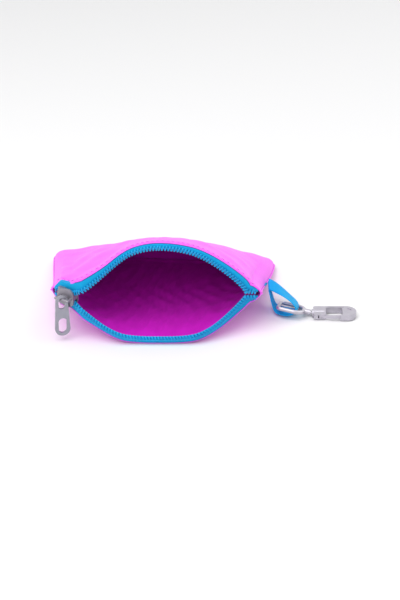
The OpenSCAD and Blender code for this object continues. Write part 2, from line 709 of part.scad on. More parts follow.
module hook_casting() {
    difference() {
        union() {
            translate([0, 0, -hook_t / 2]) linear_extrude(hook_t) hook_outline();
            rotate([0, 90, 0]) cylinder(r = barrel_r, h = barrel_l);
        }
        gate_slot();
        translate([gate_x, gate_y, -hook_t]) cylinder(d = gate_pin_d + 2 * pin_seat, h = 2 * hook_t);
        // Waisted hole and the room behind it for the head of the neck.
        waist = neck_d / 2 + run_gap;
        flare = waist + end_wall / 2 * tan(neck_tilt);
        translate([-0.01, 0, 0]) rotate([0, 90, 0])
            cylinder(r1 = flare, r2 = waist, h = end_wall / 2 + 0.01);
        translate([end_wall / 2, 0, 0]) rotate([0, 90, 0])
            cylinder(r1 = waist, r2 = flare, h = end_wall / 2 + 0.01);
        translate([end_wall, 0, 0]) rotate([0, 90, 0]) cylinder(r = head_room_r, h = head_room_l);
        // Pocket that holds the gate spring.
        translate([spring_x, spring_end, 0]) rotate([90, 0, 0])
            cylinder(d = spring_d + 0.2, h = spring_end - gate_y);
        // Shallow grooves on both faces of the spine and the nose.
        for (s = [-1, 1]) {
            translate([base_l + 1, inner_y + 0.45, s * hook_t / 2 - groove_deep])
                cube([hook_open, groove_w, 2 * groove_deep]);
            translate([hook_l - spine_y - 0.6, -0.6, s * hook_t / 2 - groove_deep])
                linear_extrude(2 * groove_deep)
                polygon(concat(
                    arc(0, 0, nose_groove_r, nose_groove_to, nose_groove_from, 8),
                    arc(0, 0, nose_groove_r - nose_groove_w, nose_groove_from, nose_groove_to, 8)
                ));
        }
    }
}
// Gate: a bar that bows outwards, from its boss to the tongue on the nose.
gate_len = nose_x - nose_gap - gate_x;
gate_drop = atan(((near_y - tongue_w - tip_gap - gate_w / 2) + gate_y) / gate_len);
function gate_mid(s) =
    [gate_x + gate_len * s, gate_y - gate_len * tan(gate_drop) * s - gate_bow * sin(180 * s)];
gate_steps = 14;
module gate_bar() {
    first = 2;
    low = [for (i = [first : gate_steps]) gate_mid(i / gate_steps) - [0, gate_w / 2]];
    up = [for (i = [gate_steps : -1 : first]) gate_mid(i / gate_steps) + [0, gate_w / 2]];
    half = asin(gate_w / 2 / boss_r);
    slope = atan(tan(gate_drop) + gate_bow * PI / gate_len);
    boss = arc(gate_x, gate_y, boss_r, half - slope, 360 - half - slope, 20);
    difference() {
        translate([0, 0, -gate_t / 2]) linear_extrude(gate_t) polygon(concat(boss, low, up));
        translate([gate_x, gate_y, -gate_t]) cylinder(d = gate_pin_d + 2 * run_gap, h = 2 * gate_t);
    }
}
module pin() translate([gate_x, gate_y, -hook_t / 2]) cylinder(d = gate_pin_d, h = hook_t);

// Gate spring: one unbroken wire from the end of its pocket to the gate.
spring_s = (spring_x - gate_x) / gate_len;
spring_top = gate_mid(spring_s)[1] + gate_w / 2 + 0.05;
spring_rings = 12;
spring_sides = 6;
module spring() {
    r = spring_d / 2 - spring_wire / 2;
    last = spring_turns * spring_rings;
    from = spring_top + spring_wire / 2 + 0.1;
    rise = spring_end - spring_wire / 2 - 0.05 - from;
    points = [for (k = [0 : last]) let (a = 360 * k / spring_rings) for (j = [0 : spring_sides - 1])
        let (b = 360 * j / spring_sides, q = r + spring_wire / 2 * cos(b))
        [spring_x + q * cos(a), from + rise * k / last + spring_wire / 2 * sin(b), q * sin(a)]];
    body = [for (k = [0 : last - 1]) for (j = [0 : spring_sides - 1])
        let (m = (j + 1) % spring_sides, p = k * spring_sides + j, q = k * spring_sides + m)
        each [[p, q, p + spring_sides], [q, q + spring_sides, p + spring_sides]]];
    first = [for (j = [1 : spring_sides - 2]) [0, j + 1, j]];
    e = last * spring_sides;
    final = [for (j = [1 : spring_sides - 2]) [e, e + j, e + j + 1]];
    polyhedron(points, concat(body, first, final), convexity = 6);
}

// One module for each node.
lining_short = 1.3;
lining_t1 = 1 - lining_short / (back_y + corner_y);
function panel_rows(last) = concat(rows(0, 1 - tuck_t, 8), [last]);
module back_panel() color("violet") cloth(-1, 0, cloth_t, -1, 1, panel_rows(1), panel_nu);
module front_panel() color("violet") cloth(1, 0, cloth_t, -1, 1, panel_rows(1), panel_nu);
module back_lining()
    color("mediumvioletred") cloth(-1, lining_off, lining_t, -1, 1, panel_rows(lining_t1), panel_nu);
module front_lining()
    color("mediumvioletred") cloth(1, lining_off, lining_t, -1, 1, panel_rows(lining_t1), panel_nu);
module left_seam() color("orchid") side_seam(-1);
module right_seam() color("orchid") side_seam(1);
module bottom_seam() color("orchid") bottom_strip();
module seam_stitching() color("plum") seam_threads();
module bar_tack() color("deepskyblue") tack();
module back_tape() color("deepskyblue") tape(-1);
module front_tape() color("deepskyblue") tape(1);
module back_coil() color("dodgerblue") coil(-1);
module front_coil() color("dodgerblue") coil(1);
module back_coil_stitching() color("lightskyblue") coil_stitching(-1);
module front_coil_stitching() color("lightskyblue") coil_stitching(1);
module back_topstitch() color("plum") topstitch(-1);
module front_topstitch() color("plum") topstitch(1);
module slider_body() color("dimgray") at_slider() slider_casting();
module slider_bail() color("dimgray") at_slider() bail();
module slider_pull() color("darkgray") at_slider() puller();
module strap_loop() color("deepskyblue") ribbon();
module swivel_eye() {
    color("silver") at_eye() {
        eye_ring();
        eye_neck();
    }
}
module hook_body() color("silver") at_hook() hook_casting();
module hook_gate() color("gainsboro") at_hook() gate_bar();
module gate_pin() color("gray") at_hook() pin();
module gate_spring() color("gray") at_hook() spring();

back_panel();
front_panel();
back_lining();
front_lining();
left_seam();
right_seam();
bottom_seam();
seam_stitching();
bar_tack();
back_tape();
front_tape();
back_coil();
front_coil();
back_coil_stitching();
front_coil_stitching();
back_topstitch();
front_topstitch();
slider_body();
slider_bail();
slider_pull();
strap_loop();
swivel_eye();
hook_body();
hook_gate();
gate_pin();
gate_spring();
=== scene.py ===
"""Small zip coin pouch with a swivel snap hook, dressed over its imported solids."""

import logging
import math
from dataclasses import dataclass, field
from enum import Enum
from typing import Callable, Sequence

import bpy
import numpy as np
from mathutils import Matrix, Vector


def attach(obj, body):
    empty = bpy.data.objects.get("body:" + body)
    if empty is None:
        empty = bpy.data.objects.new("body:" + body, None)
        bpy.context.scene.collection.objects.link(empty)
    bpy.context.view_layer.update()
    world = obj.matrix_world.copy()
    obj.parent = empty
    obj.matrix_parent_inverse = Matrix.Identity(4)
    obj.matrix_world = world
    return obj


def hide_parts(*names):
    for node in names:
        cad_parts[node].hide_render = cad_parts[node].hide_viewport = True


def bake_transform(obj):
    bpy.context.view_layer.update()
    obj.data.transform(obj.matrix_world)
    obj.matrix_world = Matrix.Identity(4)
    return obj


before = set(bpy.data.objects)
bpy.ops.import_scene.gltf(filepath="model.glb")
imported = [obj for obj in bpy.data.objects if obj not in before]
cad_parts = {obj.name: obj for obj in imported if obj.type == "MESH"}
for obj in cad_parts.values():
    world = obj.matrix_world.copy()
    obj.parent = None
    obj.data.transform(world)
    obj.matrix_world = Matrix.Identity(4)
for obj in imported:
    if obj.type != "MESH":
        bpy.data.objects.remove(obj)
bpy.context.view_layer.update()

log = logging.getLogger("pouch")
MM = 0.001
Array = np.ndarray


class Side(Enum):
    """The two cloth sides of the pouch."""

    FRONT = 1
    BACK = -1


class Half(Enum):
    """The part of a row or panel that one piece covers, split where the lips are furthest apart."""

    LEFT = "left"
    RIGHT = "right"
    WHOLE = "whole"


# ---------------------------------------------------------------- arrays and meshes


def lerp(a: Array | float, b: Array | float, s: Array | float) -> Array:
    """Straight mix of a and b by the share s."""
    return np.asarray(a + (b - a) * s)


def clip(s: Array | float) -> Array:
    """The value s, held between 0 and 1."""
    return np.clip(s, 0.0, 1.0)


def ease(s: Array | float) -> Array:
    """Smooth step: 3 c squared minus 2 c cubed, with c held between 0 and 1."""
    c = clip(s)
    return c * c * (3 - 2 * c)


def unit(v: Array) -> Array:
    """Vectors along the last axis, scaled to length 1."""
    return v / np.maximum(np.linalg.norm(v, axis=-1, keepdims=True), 1e-12)


def stack(*parts: Array | float) -> Array:
    """Coordinates joined along a new last axis, after they are spread to one shape."""
    return np.stack(np.broadcast_arrays(*[np.asarray(p, float) for p in parts]), axis=-1)


def run_length(path: Array) -> Array:
    """Distance along a path from its start to each of its points."""
    return np.concatenate([[0], np.cumsum(np.linalg.norm(np.diff(path, axis=0), axis=-1))])


def piece_name(stem: str, side: Side, half: Half) -> str:
    """Name of a piece from its kind, its side and its half."""
    return "_".join([stem, side.name.lower()] + ([] if half is Half.WHOLE else [half.value]))


def grid_faces(rows: int, cols: int, wrap: bool = False) -> Array:
    """Four-cornered faces of a grid.

    Args:
        rows: Number of points along the first axis.
        cols: Number of points along the second axis.
        wrap: True where the second axis closes on itself.

    Returns:
        One row of four point numbers for each face.
    """
    i = np.arange(rows - 1)[:, None]
    j = np.arange(cols if wrap else cols - 1)[None, :]
    k = (j + 1) % cols
    quads = np.stack([i * cols + j, (i + 1) * cols + j, (i + 1) * cols + k, i * cols + k], axis=-1)
    return quads.reshape(-1, 4)


def make_piece(
    name: str,
    points: Array,
    faces: Array,
    uv: Array | None = None,
    smooth: bool = True,
) -> bpy.types.Object:
    """Put arrays into a mesh and link its object.

    Args:
        name: Name of the piece.
        points: Corner places in millimetres, one row each.
        faces: Point numbers, one row of three or four for each face.
        uv: Place of each point on the flat cloth, in units of 10 mm.
        smooth: True for smooth shading.

    Returns:
        The linked object, at the origin.
    """
    mesh = bpy.data.meshes.new(name)
    mesh.from_pydata((points.reshape(-1, 3) * MM).tolist(), [], faces.tolist())
    if uv is not None:
        loops = np.empty(len(mesh.loops), np.int32)
        mesh.loops.foreach_get("vertex_index", loops)
        layer = mesh.uv_layers.new(name="cloth")
        layer.data.foreach_set("uv", uv.reshape(-1, 2)[loops].astype(np.float32).ravel())
    mesh.polygons.foreach_set("use_smooth", np.full(len(mesh.polygons), smooth))
    mesh.update()
    mesh.validate()
    piece = bpy.data.objects.new(name, mesh)
    bpy.context.scene.collection.objects.link(piece)
    return piece


def shell(outer: Array, inner: Array) -> tuple[Array, Array]:
    """Closed skin between two equal grids.

    The faces of the outer grid keep their order, those of the inner grid are turned over,
    and a strip of faces joins the two borders.

    Args:
        outer: Grid of points whose faces point outwards.
        inner: Grid of the same shape on the other face of the cloth.

    Returns:
        The points and the faces.
    """
    rows, cols = outer.shape[:2]
    n = rows * cols
    faces = grid_faces(rows, cols)
    ids = np.arange(n).reshape(rows, cols)
    rim = np.concatenate([ids[:-1, 0], ids[-1, :-1], ids[:0:-1, -1], ids[0, :0:-1]])
    nxt = np.roll(rim, -1)
    border = np.stack([nxt, rim, rim + n, nxt + n], axis=-1)
    points = np.concatenate([outer.reshape(-1, 3), inner.reshape(-1, 3)])
    return points, np.concatenate([faces, faces[:, ::-1] + n, border])


def tube(
    path: Array, across: Array, radius: Array, flat: float = 1.0, sides: int = 8
) -> tuple[Array, Array]:
    """Closed tube round a path.

    Each ring lies in the plane of `across` and of its cross product with the path's direction,
    and is an ellipse: the radius times the cosine along one, times the sine along the other.

    Args:
        path: Points of the centre line.
        across: A direction for each ring that is not along the path.
        radius: Radius of each ring.
        flat: Share of the radius that is kept along `across`.
        sides: Points of a ring.

    Returns:
        The points and the faces, with the two ends closed.
    """
    along = unit(np.gradient(path, axis=0))
    u = unit(across - along * np.sum(across * along, axis=-1, keepdims=True))
    w = np.cross(along, u)
    a = np.linspace(0, 2 * np.pi, sides, endpoint=False)
    ring = (
        np.cos(a)[None, :, None] * u[:, None, :] * flat + np.sin(a)[None, :, None] * w[:, None, :]
    ) * np.asarray(radius).reshape(-1, 1, 1)
    points = (path[:, None, :] + ring).reshape(-1, 3)
    n = len(path)
    ends = np.concatenate([path[:1], path[-1:]])
    j = np.arange(sides)
    k = (j + 1) % sides
    first = np.stack([j, k, np.full(sides, n * sides)], axis=-1)
    last = np.stack([k + (n - 1) * sides, j + (n - 1) * sides, np.full(sides, n * sides + 1)], axis=-1)
    quads = grid_faces(n, sides, wrap=True)[:, ::-1]
    tris = np.concatenate([first[:, ::-1], last[:, ::-1]])
    return np.concatenate([points, ends]), pad_faces(quads, tris)


def pad_faces(quads: Array, tris: Array) -> Array:
    """Faces of four and of three corners in one object array."""
    faces = np.empty(len(quads) + len(tris), dtype=object)
    faces[: len(quads)] = [tuple(q) for q in quads.tolist()]
    faces[len(quads) :] = [tuple(t) for t in tris.tolist()]
    return faces


def repeat_block(points: Array, faces: Array, frames: Array, places: Array) -> tuple[Array, Array]:
    """Copies of one small block.

    Each point is the block's own point, taken along the three directions of a frame,
    and added to that frame's place.

    Args:
        points: Points of the block.
        faces: Faces of the block, all with the same number of corners.
        frames: Three directions for each copy.
        places: Place of each copy.

    Returns:
        All points and all faces.
    """
    every = np.einsum("pk,nkc->npc", points, frames) + places[:, None, :]
    steps = np.arange(len(places))[:, None, None] * len(points)
    return every.reshape(-1, 3), (faces[None] + steps).reshape(-1, faces.shape[1])


def stitch_block(length: float, width: float, height: float) -> tuple[Array, Array]:
    """A short thread that dips into the cloth at its ends.

    Its middle rises with the power 0.6 of the sine of the share along it, from a little below the
    cloth, and each section is a ring of six points that swells with the same sine.

    Args:
        length: Length along the seam.
        width: Width of the thread.
        height: How far it stands over the cloth.

    Returns:
        The points and the faces of the block.
    """
    s = np.linspace(0, 1, 6)[:, None]
    a = np.linspace(0, 2 * np.pi, 6, endpoint=False)[None, :]
    swell = 0.45 + 0.55 * np.sin(np.pi * s)
    x = (s - 0.5) * length + 0 * a
    y = width / 2 * np.cos(a) * swell
    z = height * (np.sin(np.pi * s) ** 0.6 * 0.8 - 0.3) + width / 2 * np.sin(a) * swell
    points = stack(x, y, z).reshape(-1, 3)
    quads = grid_faces(6, 6, wrap=True)
    caps = np.array([[0, 1, 2, 3], [0, 3, 4, 5], [33, 32, 31, 30], [35, 34, 33, 30]])
    return points, np.concatenate([quads, caps])[:, ::-1]


def thread_row(
    name: str, size: tuple[float, float, float], along: Array, up: Array, places: Array
) -> bpy.types.Object:
    """One stitch at each place.

    Args:
        name: Name of the piece.
        size: Length, width and height of a stitch.
        along: Direction of each stitch.
        up: Direction out of the cloth at each stitch.
        places: Middle of each stitch.

    Returns:
        The piece.
    """
    block, faces = stitch_block(*size)
    frames = np.stack([along, np.cross(up, along), up], axis=1)
    points, every = repeat_block(block, faces, frames, places)
    return make_piece(name, points, every)


# ---------------------------------------------------------------- the shape of the pouch


@dataclass(frozen=True)
class PouchShape:
    """Middle surfaces of the cloth, in millimetres.

    They follow the same rules as the solids, apart from the puffed form of the front panel.
    """

    width: float = 116.0
    back_y: float = 42.0
    corner_y: float = 35.0
    corner_z: float = 23.0
    left_in: float = 5.0
    right_in: float = 9.5
    skew: float = 9.0
    seam_curve: float = 1.6
    nose_push: float = 5.5
    tail_back: float = 4.0
    cloth_t: float = 0.6
    lining_t: float = 0.4
    tape_t: float = 0.5
    seam_t: float = 0.8
    gap: float = 0.08
    front_rise: float = 20.5
    front_lean: float = 5.0
    front_swell: float = 5.5
    side_swell: float = 10.0
    back_reach: float = 9.0
    band_w: float = 4.6
    lip_middle: float = 1.0
    fold_ramp: float = 5.0
    slider_clear: float = 6.7
    kink_run: float = 5.0
    bend_run: float = 26.0
    clear_run: float = 14.0
    closed_left: float = 10.0
    closed_right: float = 8.0
    coil_w: float = 3.0
    coil_h: float = 1.4
    coil_pitch: float = 1.5
    coil_gap: float = 0.3

    @property
    def left_x(self) -> float:
        """Place of the left mouth corner."""
        return -self.width / 2 + self.left_in

    @property
    def right_x(self) -> float:
        """Place of the right mouth corner."""
        return self.width / 2 - self.right_in

    @property
    def half_mouth(self) -> float:
        """Half the distance between the mouth corners."""
        return (self.right_x - self.left_x) / 2

    @property
    def depth(self) -> float:
        """Distance from the bottom seam to the mouth corners."""
        return self.back_y + self.corner_y

    @property
    def kink_x(self) -> float:
        """Place where the closed chain turns towards the open lips."""
        return self.left_x + self.closed_left + self.kink_run

    @property
    def side_off(self) -> float:
        """Distance from a side seam's middle to the outer cloth beside it."""
        lining_off = self.cloth_t / 2 + self.gap + self.tape_t + self.gap + self.lining_t / 2
        return 1.15 * (lining_off + self.lining_t / 2 + self.gap + self.seam_t / 2)

    def draw_in(self, t: Array) -> Array:
        """How far the sides are drawn in: the sine of t quarter turns, to the power 1.5."""
        return np.sin(np.pi / 2 * clip(t)) ** 1.5

    def mouth_x(self, u: Array) -> Array:
        """Place along the mouth, from the left corner at -1 to the right corner at 1."""
        return lerp(self.left_x, self.right_x, (u + 1) / 2)

    def plan_x(self, u: Array, t: Array) -> Array:
        """X of a point: a straight mix of the two drawn-in side edges."""
        d = self.draw_in(t)
        left = lerp(-self.width / 2, self.left_x, d)
        right = lerp(self.width / 2, self.right_x, d)
        return lerp(left, right, (u + 1) / 2)

    def bend(self, x: Array) -> Array:
        """How far the lips are pushed forwards: a straight run to the kink, then an eased return."""
        run = lerp(self.tail_back, -self.nose_push, clip((x - self.left_x) / (self.kink_x - self.left_x)))
        back = -self.nose_push * (1 - ease((x - self.kink_x) / self.bend_run))
        return np.where(x < self.kink_x, run, back)

    def plan_y(self, u: Array, t: Array) -> Array:
        """Y of a point: straight from the skewed bottom seam to the mouth, plus the lips' bend."""
        base = lerp(self.back_y - self.skew / 2 * u, -self.corner_y, t)
        return base + self.bend(self.mouth_x(u)) * np.maximum(0, t) ** 3

    def seam_z(self, t: Array) -> Array:
        """Height of the side seams: from the floor to the mouth corners by the power of t."""
        bottom = self.cloth_t / 2 + self.side_off
        return lerp(bottom, self.corner_z, np.maximum(0, t) ** self.seam_curve)

    def lip_side(self, x: Array, a: float, b: float) -> Array:
        """Share of the way from a mouth corner to the middle of the lip."""
        m = -self.lip_middle
        return np.where(x < m, clip((x - a) / (m - a)), clip((b - x) / (b - m)))

    def front_open(self, x: Array, a: float, b: float) -> Array:
        """Rise of the front lip: a sine that is narrow on the left and full on the right."""
        power = np.where(x < -self.lip_middle, 1.2, 0.68)
        return np.sin(np.pi / 2 * self.lip_side(x, a, b)) ** power

    def back_open(self, x: Array, a: float, b: float) -> Array:
        """Fall of the back lip: one less the cube of the distance from its middle."""
        power = np.where(x < -self.lip_middle, 1.3, 1.0)
        return (1 - (1 - self.lip_side(x, a, b)) ** 3) ** power

    def lean_open(self, x: Array) -> Array:
        """How much of the lips' lean applies, none beside the closed chain."""
        return ease(1.6 * self.lip_side(x, self.kink_x, self.right_x - self.closed_right))

    def fold_lift(self, x: Array) -> Array:
        """Distance from the chain to the fabric edge along the mouth."""
        top = lerp(self.slider_clear, self.band_w, ease((x - self.kink_x) / self.clear_run))
        to_side = np.minimum(x - self.left_x, self.right_x - x)
        return lerp(self.side_off, top, ease(to_side / self.fold_ramp))

    @property
    def fold_ends(self) -> tuple[float, float]:
        """Places where the fabric edges start to part."""
        return self.left_x + self.closed_left - 1, self.right_x - self.closed_right + 3

    def front(self, u: Array, t: Array) -> Array:
        """Middle surface of the front panel."""
        x = self.mouth_x(u)
        g = self.front_open(x, *self.fold_ends)
        r = np.sin(np.pi / 2 * t) ** 0.75
        z = self.seam_z(t) + lerp(self.side_off, self.fold_lift(x), r) + self.front_rise * g * r
        y = self.plan_y(u, t) + self.front_lean * self.lean_open(x) * t**2
        return stack(self.plan_x(u, t), y, z + self.puff(x, t, g))

    def puff(self, x: Array, t: Array, g: Array) -> Array:
        """Puffed form of the front panel: steep behind the bottom seam, flat towards the lip."""
        side = np.sin(np.pi / 2 * self.lip_side(x, self.left_x, self.right_x)) ** 0.5
        high = lerp(self.side_swell, self.front_swell, g)
        return high * side * (1 - np.maximum(0, 1 - t) ** 10) * (1 - np.maximum(0, t) ** 2)

    def back(self, u: Array, t: Array) -> Array:
        """Middle surface of the back panel."""
        x = self.mouth_x(u)
        g = self.back_open(x, *self.fold_ends)
        low = self.seam_z(t) - lerp(self.side_off, self.fold_lift(x), t)
        y = self.plan_y(u, t) - self.back_reach * self.lean_open(x) * t
        return stack(self.plan_x(u, t), y, lerp(low, self.cloth_t / 2, g))

    def seam(self, u: Array, t: Array) -> Array:
        """Middle surface of the seam allowances, level with the seams."""
        return stack(self.plan_x(u, t), self.plan_y(u, t), self.seam_z(t))

    def panel(self, side: Side, u: Array, t: Array) -> Array:
        """Middle surface of one panel."""
        return self.front(u, t) if side is Side.FRONT else self.back(u, t)

    def coil_edge(self, side: Side, u: Array) -> Array:
        """Free edge of a coil row, level with the mouth corners where the chain is closed."""
        x = self.mouth_x(u)
        a, b = self.left_x + self.closed_left, self.right_x - self.closed_right
        if side is Side.FRONT:
            z = self.corner_z + self.coil_gap / 2 + (self.front_rise + 0.5) * self.front_open(x, a, b)
            y = self.plan_y(u, 1.0) + self.front_lean * self.lean_open(x)
        else:
            z = lerp(self.corner_z - self.coil_gap / 2, self.band_w + 0.3, self.back_open(x, a, b))
            y = self.plan_y(u, 1.0) - self.back_reach * self.lean_open(x)
        return stack(x, y, z)

    def band_frames(self, side: Side, u: Array) -> tuple[Array, Array, Array]:
        """Directions at a coil row's free edge.

        Args:
            side: The lip.
            u: Places along the mouth.

        Returns:
            The direction along the row, the one from its free edge to the fabric edge, and outwards.
        """
        e = 0.006
        along = unit(self.coil_edge(side, u + e) - self.coil_edge(side, u - e))
        lip = self.panel(side, u, np.ones_like(u)) - self.coil_edge(side, u)
        across = unit(lip - along * np.sum(lip * along, axis=-1, keepdims=True))
        return along, across, side.value * unit(np.cross(along, across))

    def even_u(self, side: Side, pitch: float, half: Half, inset: float = 2.5) -> Array:
        """Places at equal distances along a coil row.

        The running length is summed over short steps, and the places are read back from it.

        Args:
            side: The lip.
            pitch: Distance from one place to the next.
            half: The part of the row.
            inset: Distance from each mouth corner to the ends of the row.

        Returns:
            The places, from left to right.
        """
        u = np.linspace(-1 + inset / self.half_mouth, 1 - inset / self.half_mouth, 1600)
        run = run_length(self.coil_edge(side, u))
        return self.part(np.interp(np.arange(0, run[-1], pitch), run, u), half)

    @property
    def split_u(self) -> float:
        """Place along the mouth where left and right halves meet."""
        return (-self.lip_middle - self.left_x) / self.half_mouth - 1

    def part(self, u: Array, half: Half) -> Array:
        """Those of the places along the mouth that are in one half."""
        left = u <= self.split_u
        return {Half.LEFT: u[left], Half.RIGHT: u[~left], Half.WHOLE: u}[half]

    def span(self, half: Half, inset: float) -> tuple[float, float]:
        """First and last place of one half, short of the mouth corners by the inset."""
        edge = 1 - inset / self.half_mouth
        middle = self.split_u
        return {Half.LEFT: (-edge, middle), Half.RIGHT: (middle, edge), Half.WHOLE: (-edge, edge)}[half]


def normals(points: Array) -> Array:
    """Unit normals of a grid: the cross product of its steps along both axes."""
    return unit(np.cross(np.gradient(points, axis=1), np.gradient(points, axis=0)))


# ---------------------------------------------------------------- finishes


def linear(red: int, green: int, blue: int) -> tuple[float, float, float, float]:
    """Linear colour of a screen colour from 0 to 255, by the sRGB curve."""

    def channel(value: int) -> float:
        """One channel, by the straight part or the power part of the curve."""
        c = value / 255
        return c / 12.92 if c <= 0.04045 else ((c + 0.055) / 1.055) ** 2.4

    return channel(red), channel(green), channel(blue), 1.0


class Tree:
    """A node tree with short calls that add a node and join its inputs."""

    def __init__(self, tree: bpy.types.NodeTree) -> None:
        """Keep the tree and clear it."""
        self.tree = tree
        tree.nodes.clear()

    def node(
        self, kind: str, inputs: dict[str | int, object] | None = None, **settings: object
    ) -> bpy.types.Node:
        """Add a node.

        Args:
            kind: Blender's name of the node type.
            inputs: Values, or output sockets to join, by input name or number.
            settings: Attributes of the node.

        Returns:
            The node.
        """
        made = self.tree.nodes.new(kind)
        for key, value in settings.items():
            setattr(made, key, value)
        for key, value in (inputs or {}).items():
            socket = made.inputs[key]
            if isinstance(value, bpy.types.NodeSocket):
                self.tree.links.new(value, socket)
            else:
                socket.default_value = value
        return made

    def math(self, operation: str, a: object, b: object = 0.0, clamp: bool = False) -> bpy.types.NodeSocket:
        """The result of one sum on two values or sockets."""
        return self.node("ShaderNodeMath", {0: a, 1: b}, operation=operation, use_clamp=clamp).outputs[0]

    def mix(self, share: object, a: object, b: object) -> bpy.types.NodeSocket:
        """A colour between a and b."""
        return self.node("ShaderNodeMix", {0: share, 6: a, 7: b}, data_type="RGBA").outputs[2]

    def group(self, name: str, place: bpy.types.NodeSocket) -> bpy.types.Node:
        """A shared group, joined to the place that it is drawn at."""
        return self.node("ShaderNodeGroup", {"Place": place}, node_tree=shared(name))

    def noise(
        self, place: object, scale: float, detail: float = 3.0, rough: float = 0.5
    ) -> bpy.types.NodeSocket:
        """Smooth noise from 0 to 1 at a place."""
        settings = {"Vector": place, "Scale": scale, "Detail": detail, "Roughness": rough}
        return self.node("ShaderNodeTexNoise", settings).outputs["Fac"]


class MaterialTree(Tree):
    """The node tree of a new material with one Principled shader."""

    def __init__(self, name: str) -> None:
        """Make the material of that name."""
        self.made = bpy.data.materials.new(name)
        self.made.use_nodes = True
        super().__init__(self.made.node_tree)

    def close(self, inputs: dict[str | int, object]) -> bpy.types.Material:
        """Add the shader and its output.

        Args:
            inputs: Values, or output sockets to join, of the shader.

        Returns:
            The material.
        """
        shader = self.node("ShaderNodeBsdfPrincipled", inputs)
        self.node("ShaderNodeOutputMaterial", {"Surface": shader.outputs[0]})
        return self.made


def new_group(name: str, inputs: Sequence[tuple[str, str, float]], outputs: Sequence[tuple[str, str]]) -> tuple[
    bpy.types.NodeTree, Tree, bpy.types.Node, bpy.types.Node
]:
    """Start a shader node group.

    Args:
        name: Name of the group.
        inputs: Name, socket type and default of each input.
        outputs: Name and socket type of each output.

    Returns:
        The group, its tree, and its input and output nodes.
    """
    group = bpy.data.node_groups.new(name, "ShaderNodeTree")
    tree = Tree(group)
    for label, kind, value in inputs:
        socket = group.interface.new_socket(label, in_out="INPUT", socket_type=kind)
        if kind == "NodeSocketFloat":
            socket.default_value = value
    for label, kind in outputs:
        group.interface.new_socket(label, in_out="OUTPUT", socket_type=kind)
    return group, tree, tree.node("NodeGroupInput"), tree.node("NodeGroupOutput")


FLOAT, VECTOR = "NodeSocketFloat", "NodeSocketVector"


def weave_group() -> bpy.types.NodeTree:
    """Plain weave: threads over and under each other on a square grid.

    The height is the product of a sine along each direction of the cloth, raised a little
    where the thread that runs across is on top, with slubs from stretched noise.

    Returns:
        A group from a place and a pitch to a height and a slub mask.
    """
    group, tree, start, end = new_group(
        "weave", [("Place", VECTOR, 0), ("Pitch", FLOAT, 0.05)], [("Height", FLOAT), ("Slubs", FLOAT)]
    )
    split = tree.node("ShaderNodeSeparateXYZ", {0: start.outputs["Place"]})
    turns = tree.math("DIVIDE", math.pi, start.outputs["Pitch"])
    warp = tree.math("SINE", tree.math("MULTIPLY", split.outputs[0], turns))
    weft = tree.math("SINE", tree.math("MULTIPLY", split.outputs[1], turns))
    over = tree.math("MULTIPLY", warp, weft)
    ridge = tree.math("MAXIMUM", tree.math("ABSOLUTE", warp), tree.math("ABSOLUTE", weft))
    height = tree.math("ADD", tree.math("MULTIPLY", over, 0.35), tree.math("MULTIPLY", ridge, 0.5))
    drawn = [
        tree.node("ShaderNodeVectorMath", {0: start.outputs["Place"], 1: stretch}, operation="MULTIPLY")
        for stretch in ((1.5, 22.0, 1.0), (22.0, 1.5, 1.0))
    ]
    slubs = tree.math("MAXIMUM", *(tree.noise(made.outputs[0], 1.0, 2.0) for made in drawn))
    tree.tree.links.new(height, end.inputs["Height"])
    tree.tree.links.new(slubs, end.inputs["Slubs"])
    return group


def ribs_group() -> bpy.types.NodeTree:
    """Ribs across a ribbon or tape: a rounded sine along its length, with the finer threads across.

    Returns:
        A group from a place and a pitch to a height and a mask of painted shade in the grooves between the ribs.
    """
    group, tree, start, end = new_group(
        "ribs", [("Place", VECTOR, 0), ("Pitch", FLOAT, 0.08)], [("Height", FLOAT), ("Grooves", FLOAT)]
    )
    split = tree.node("ShaderNodeSeparateXYZ", {0: start.outputs["Place"]})
    turns = tree.math("DIVIDE", math.pi, start.outputs["Pitch"])
    rib = tree.math("ABSOLUTE", tree.math("SINE", tree.math("MULTIPLY", split.outputs[0], turns)))
    wave = tree.math("MULTIPLY", split.outputs[1], tree.math("MULTIPLY", turns, 1.7))
    fine = tree.math("ABSOLUTE", tree.math("SINE", wave))
    height = tree.math("ADD", rib, tree.math("MULTIPLY", fine, 0.3))
    # Mask of the painted shade in the grooves between the ribs.
    groove_shade_mask = tree.math("POWER", tree.math("SUBTRACT", 1.0, rib), 3.0)
    tree.tree.links.new(height, end.inputs["Height"])
    tree.tree.links.new(groove_shade_mask, end.inputs["Grooves"])
    return group


def casting_group() -> bpy.types.NodeTree:
    """Cast and tumbled metal: broad patches, fine grain and short scratches.

    Returns:
        A group from a place to patches, grain and scratches, each from 0 to 1.
    """
    group, tree, start, end = new_group(
        "casting", [("Place", VECTOR, 0)], [("Patches", FLOAT), ("Grain", FLOAT), ("Scratches", FLOAT)]
    )
    place = start.outputs["Place"]
    patches = tree.noise(place, 260.0, 3.0)
    grain = tree.noise(place, 2600.0, 4.0, 0.7)
    brushed = {"Vector": place, "Rotation": (0.4, 0.9, 0.7), "Scale": (300.0, 4200.0, 4200.0)}
    turned = tree.node("ShaderNodeMapping", brushed)
    lines = tree.noise(turned.outputs[0], 1.0, 2.0, 0.6)
    scratches = tree.math("MULTIPLY", tree.math("SUBTRACT", lines, 0.6, clamp=True), 4.0, clamp=True)
    for name, value in (("Patches", patches), ("Grain", grain), ("Scratches", scratches)):
        tree.tree.links.new(value, end.inputs[name])
    return group


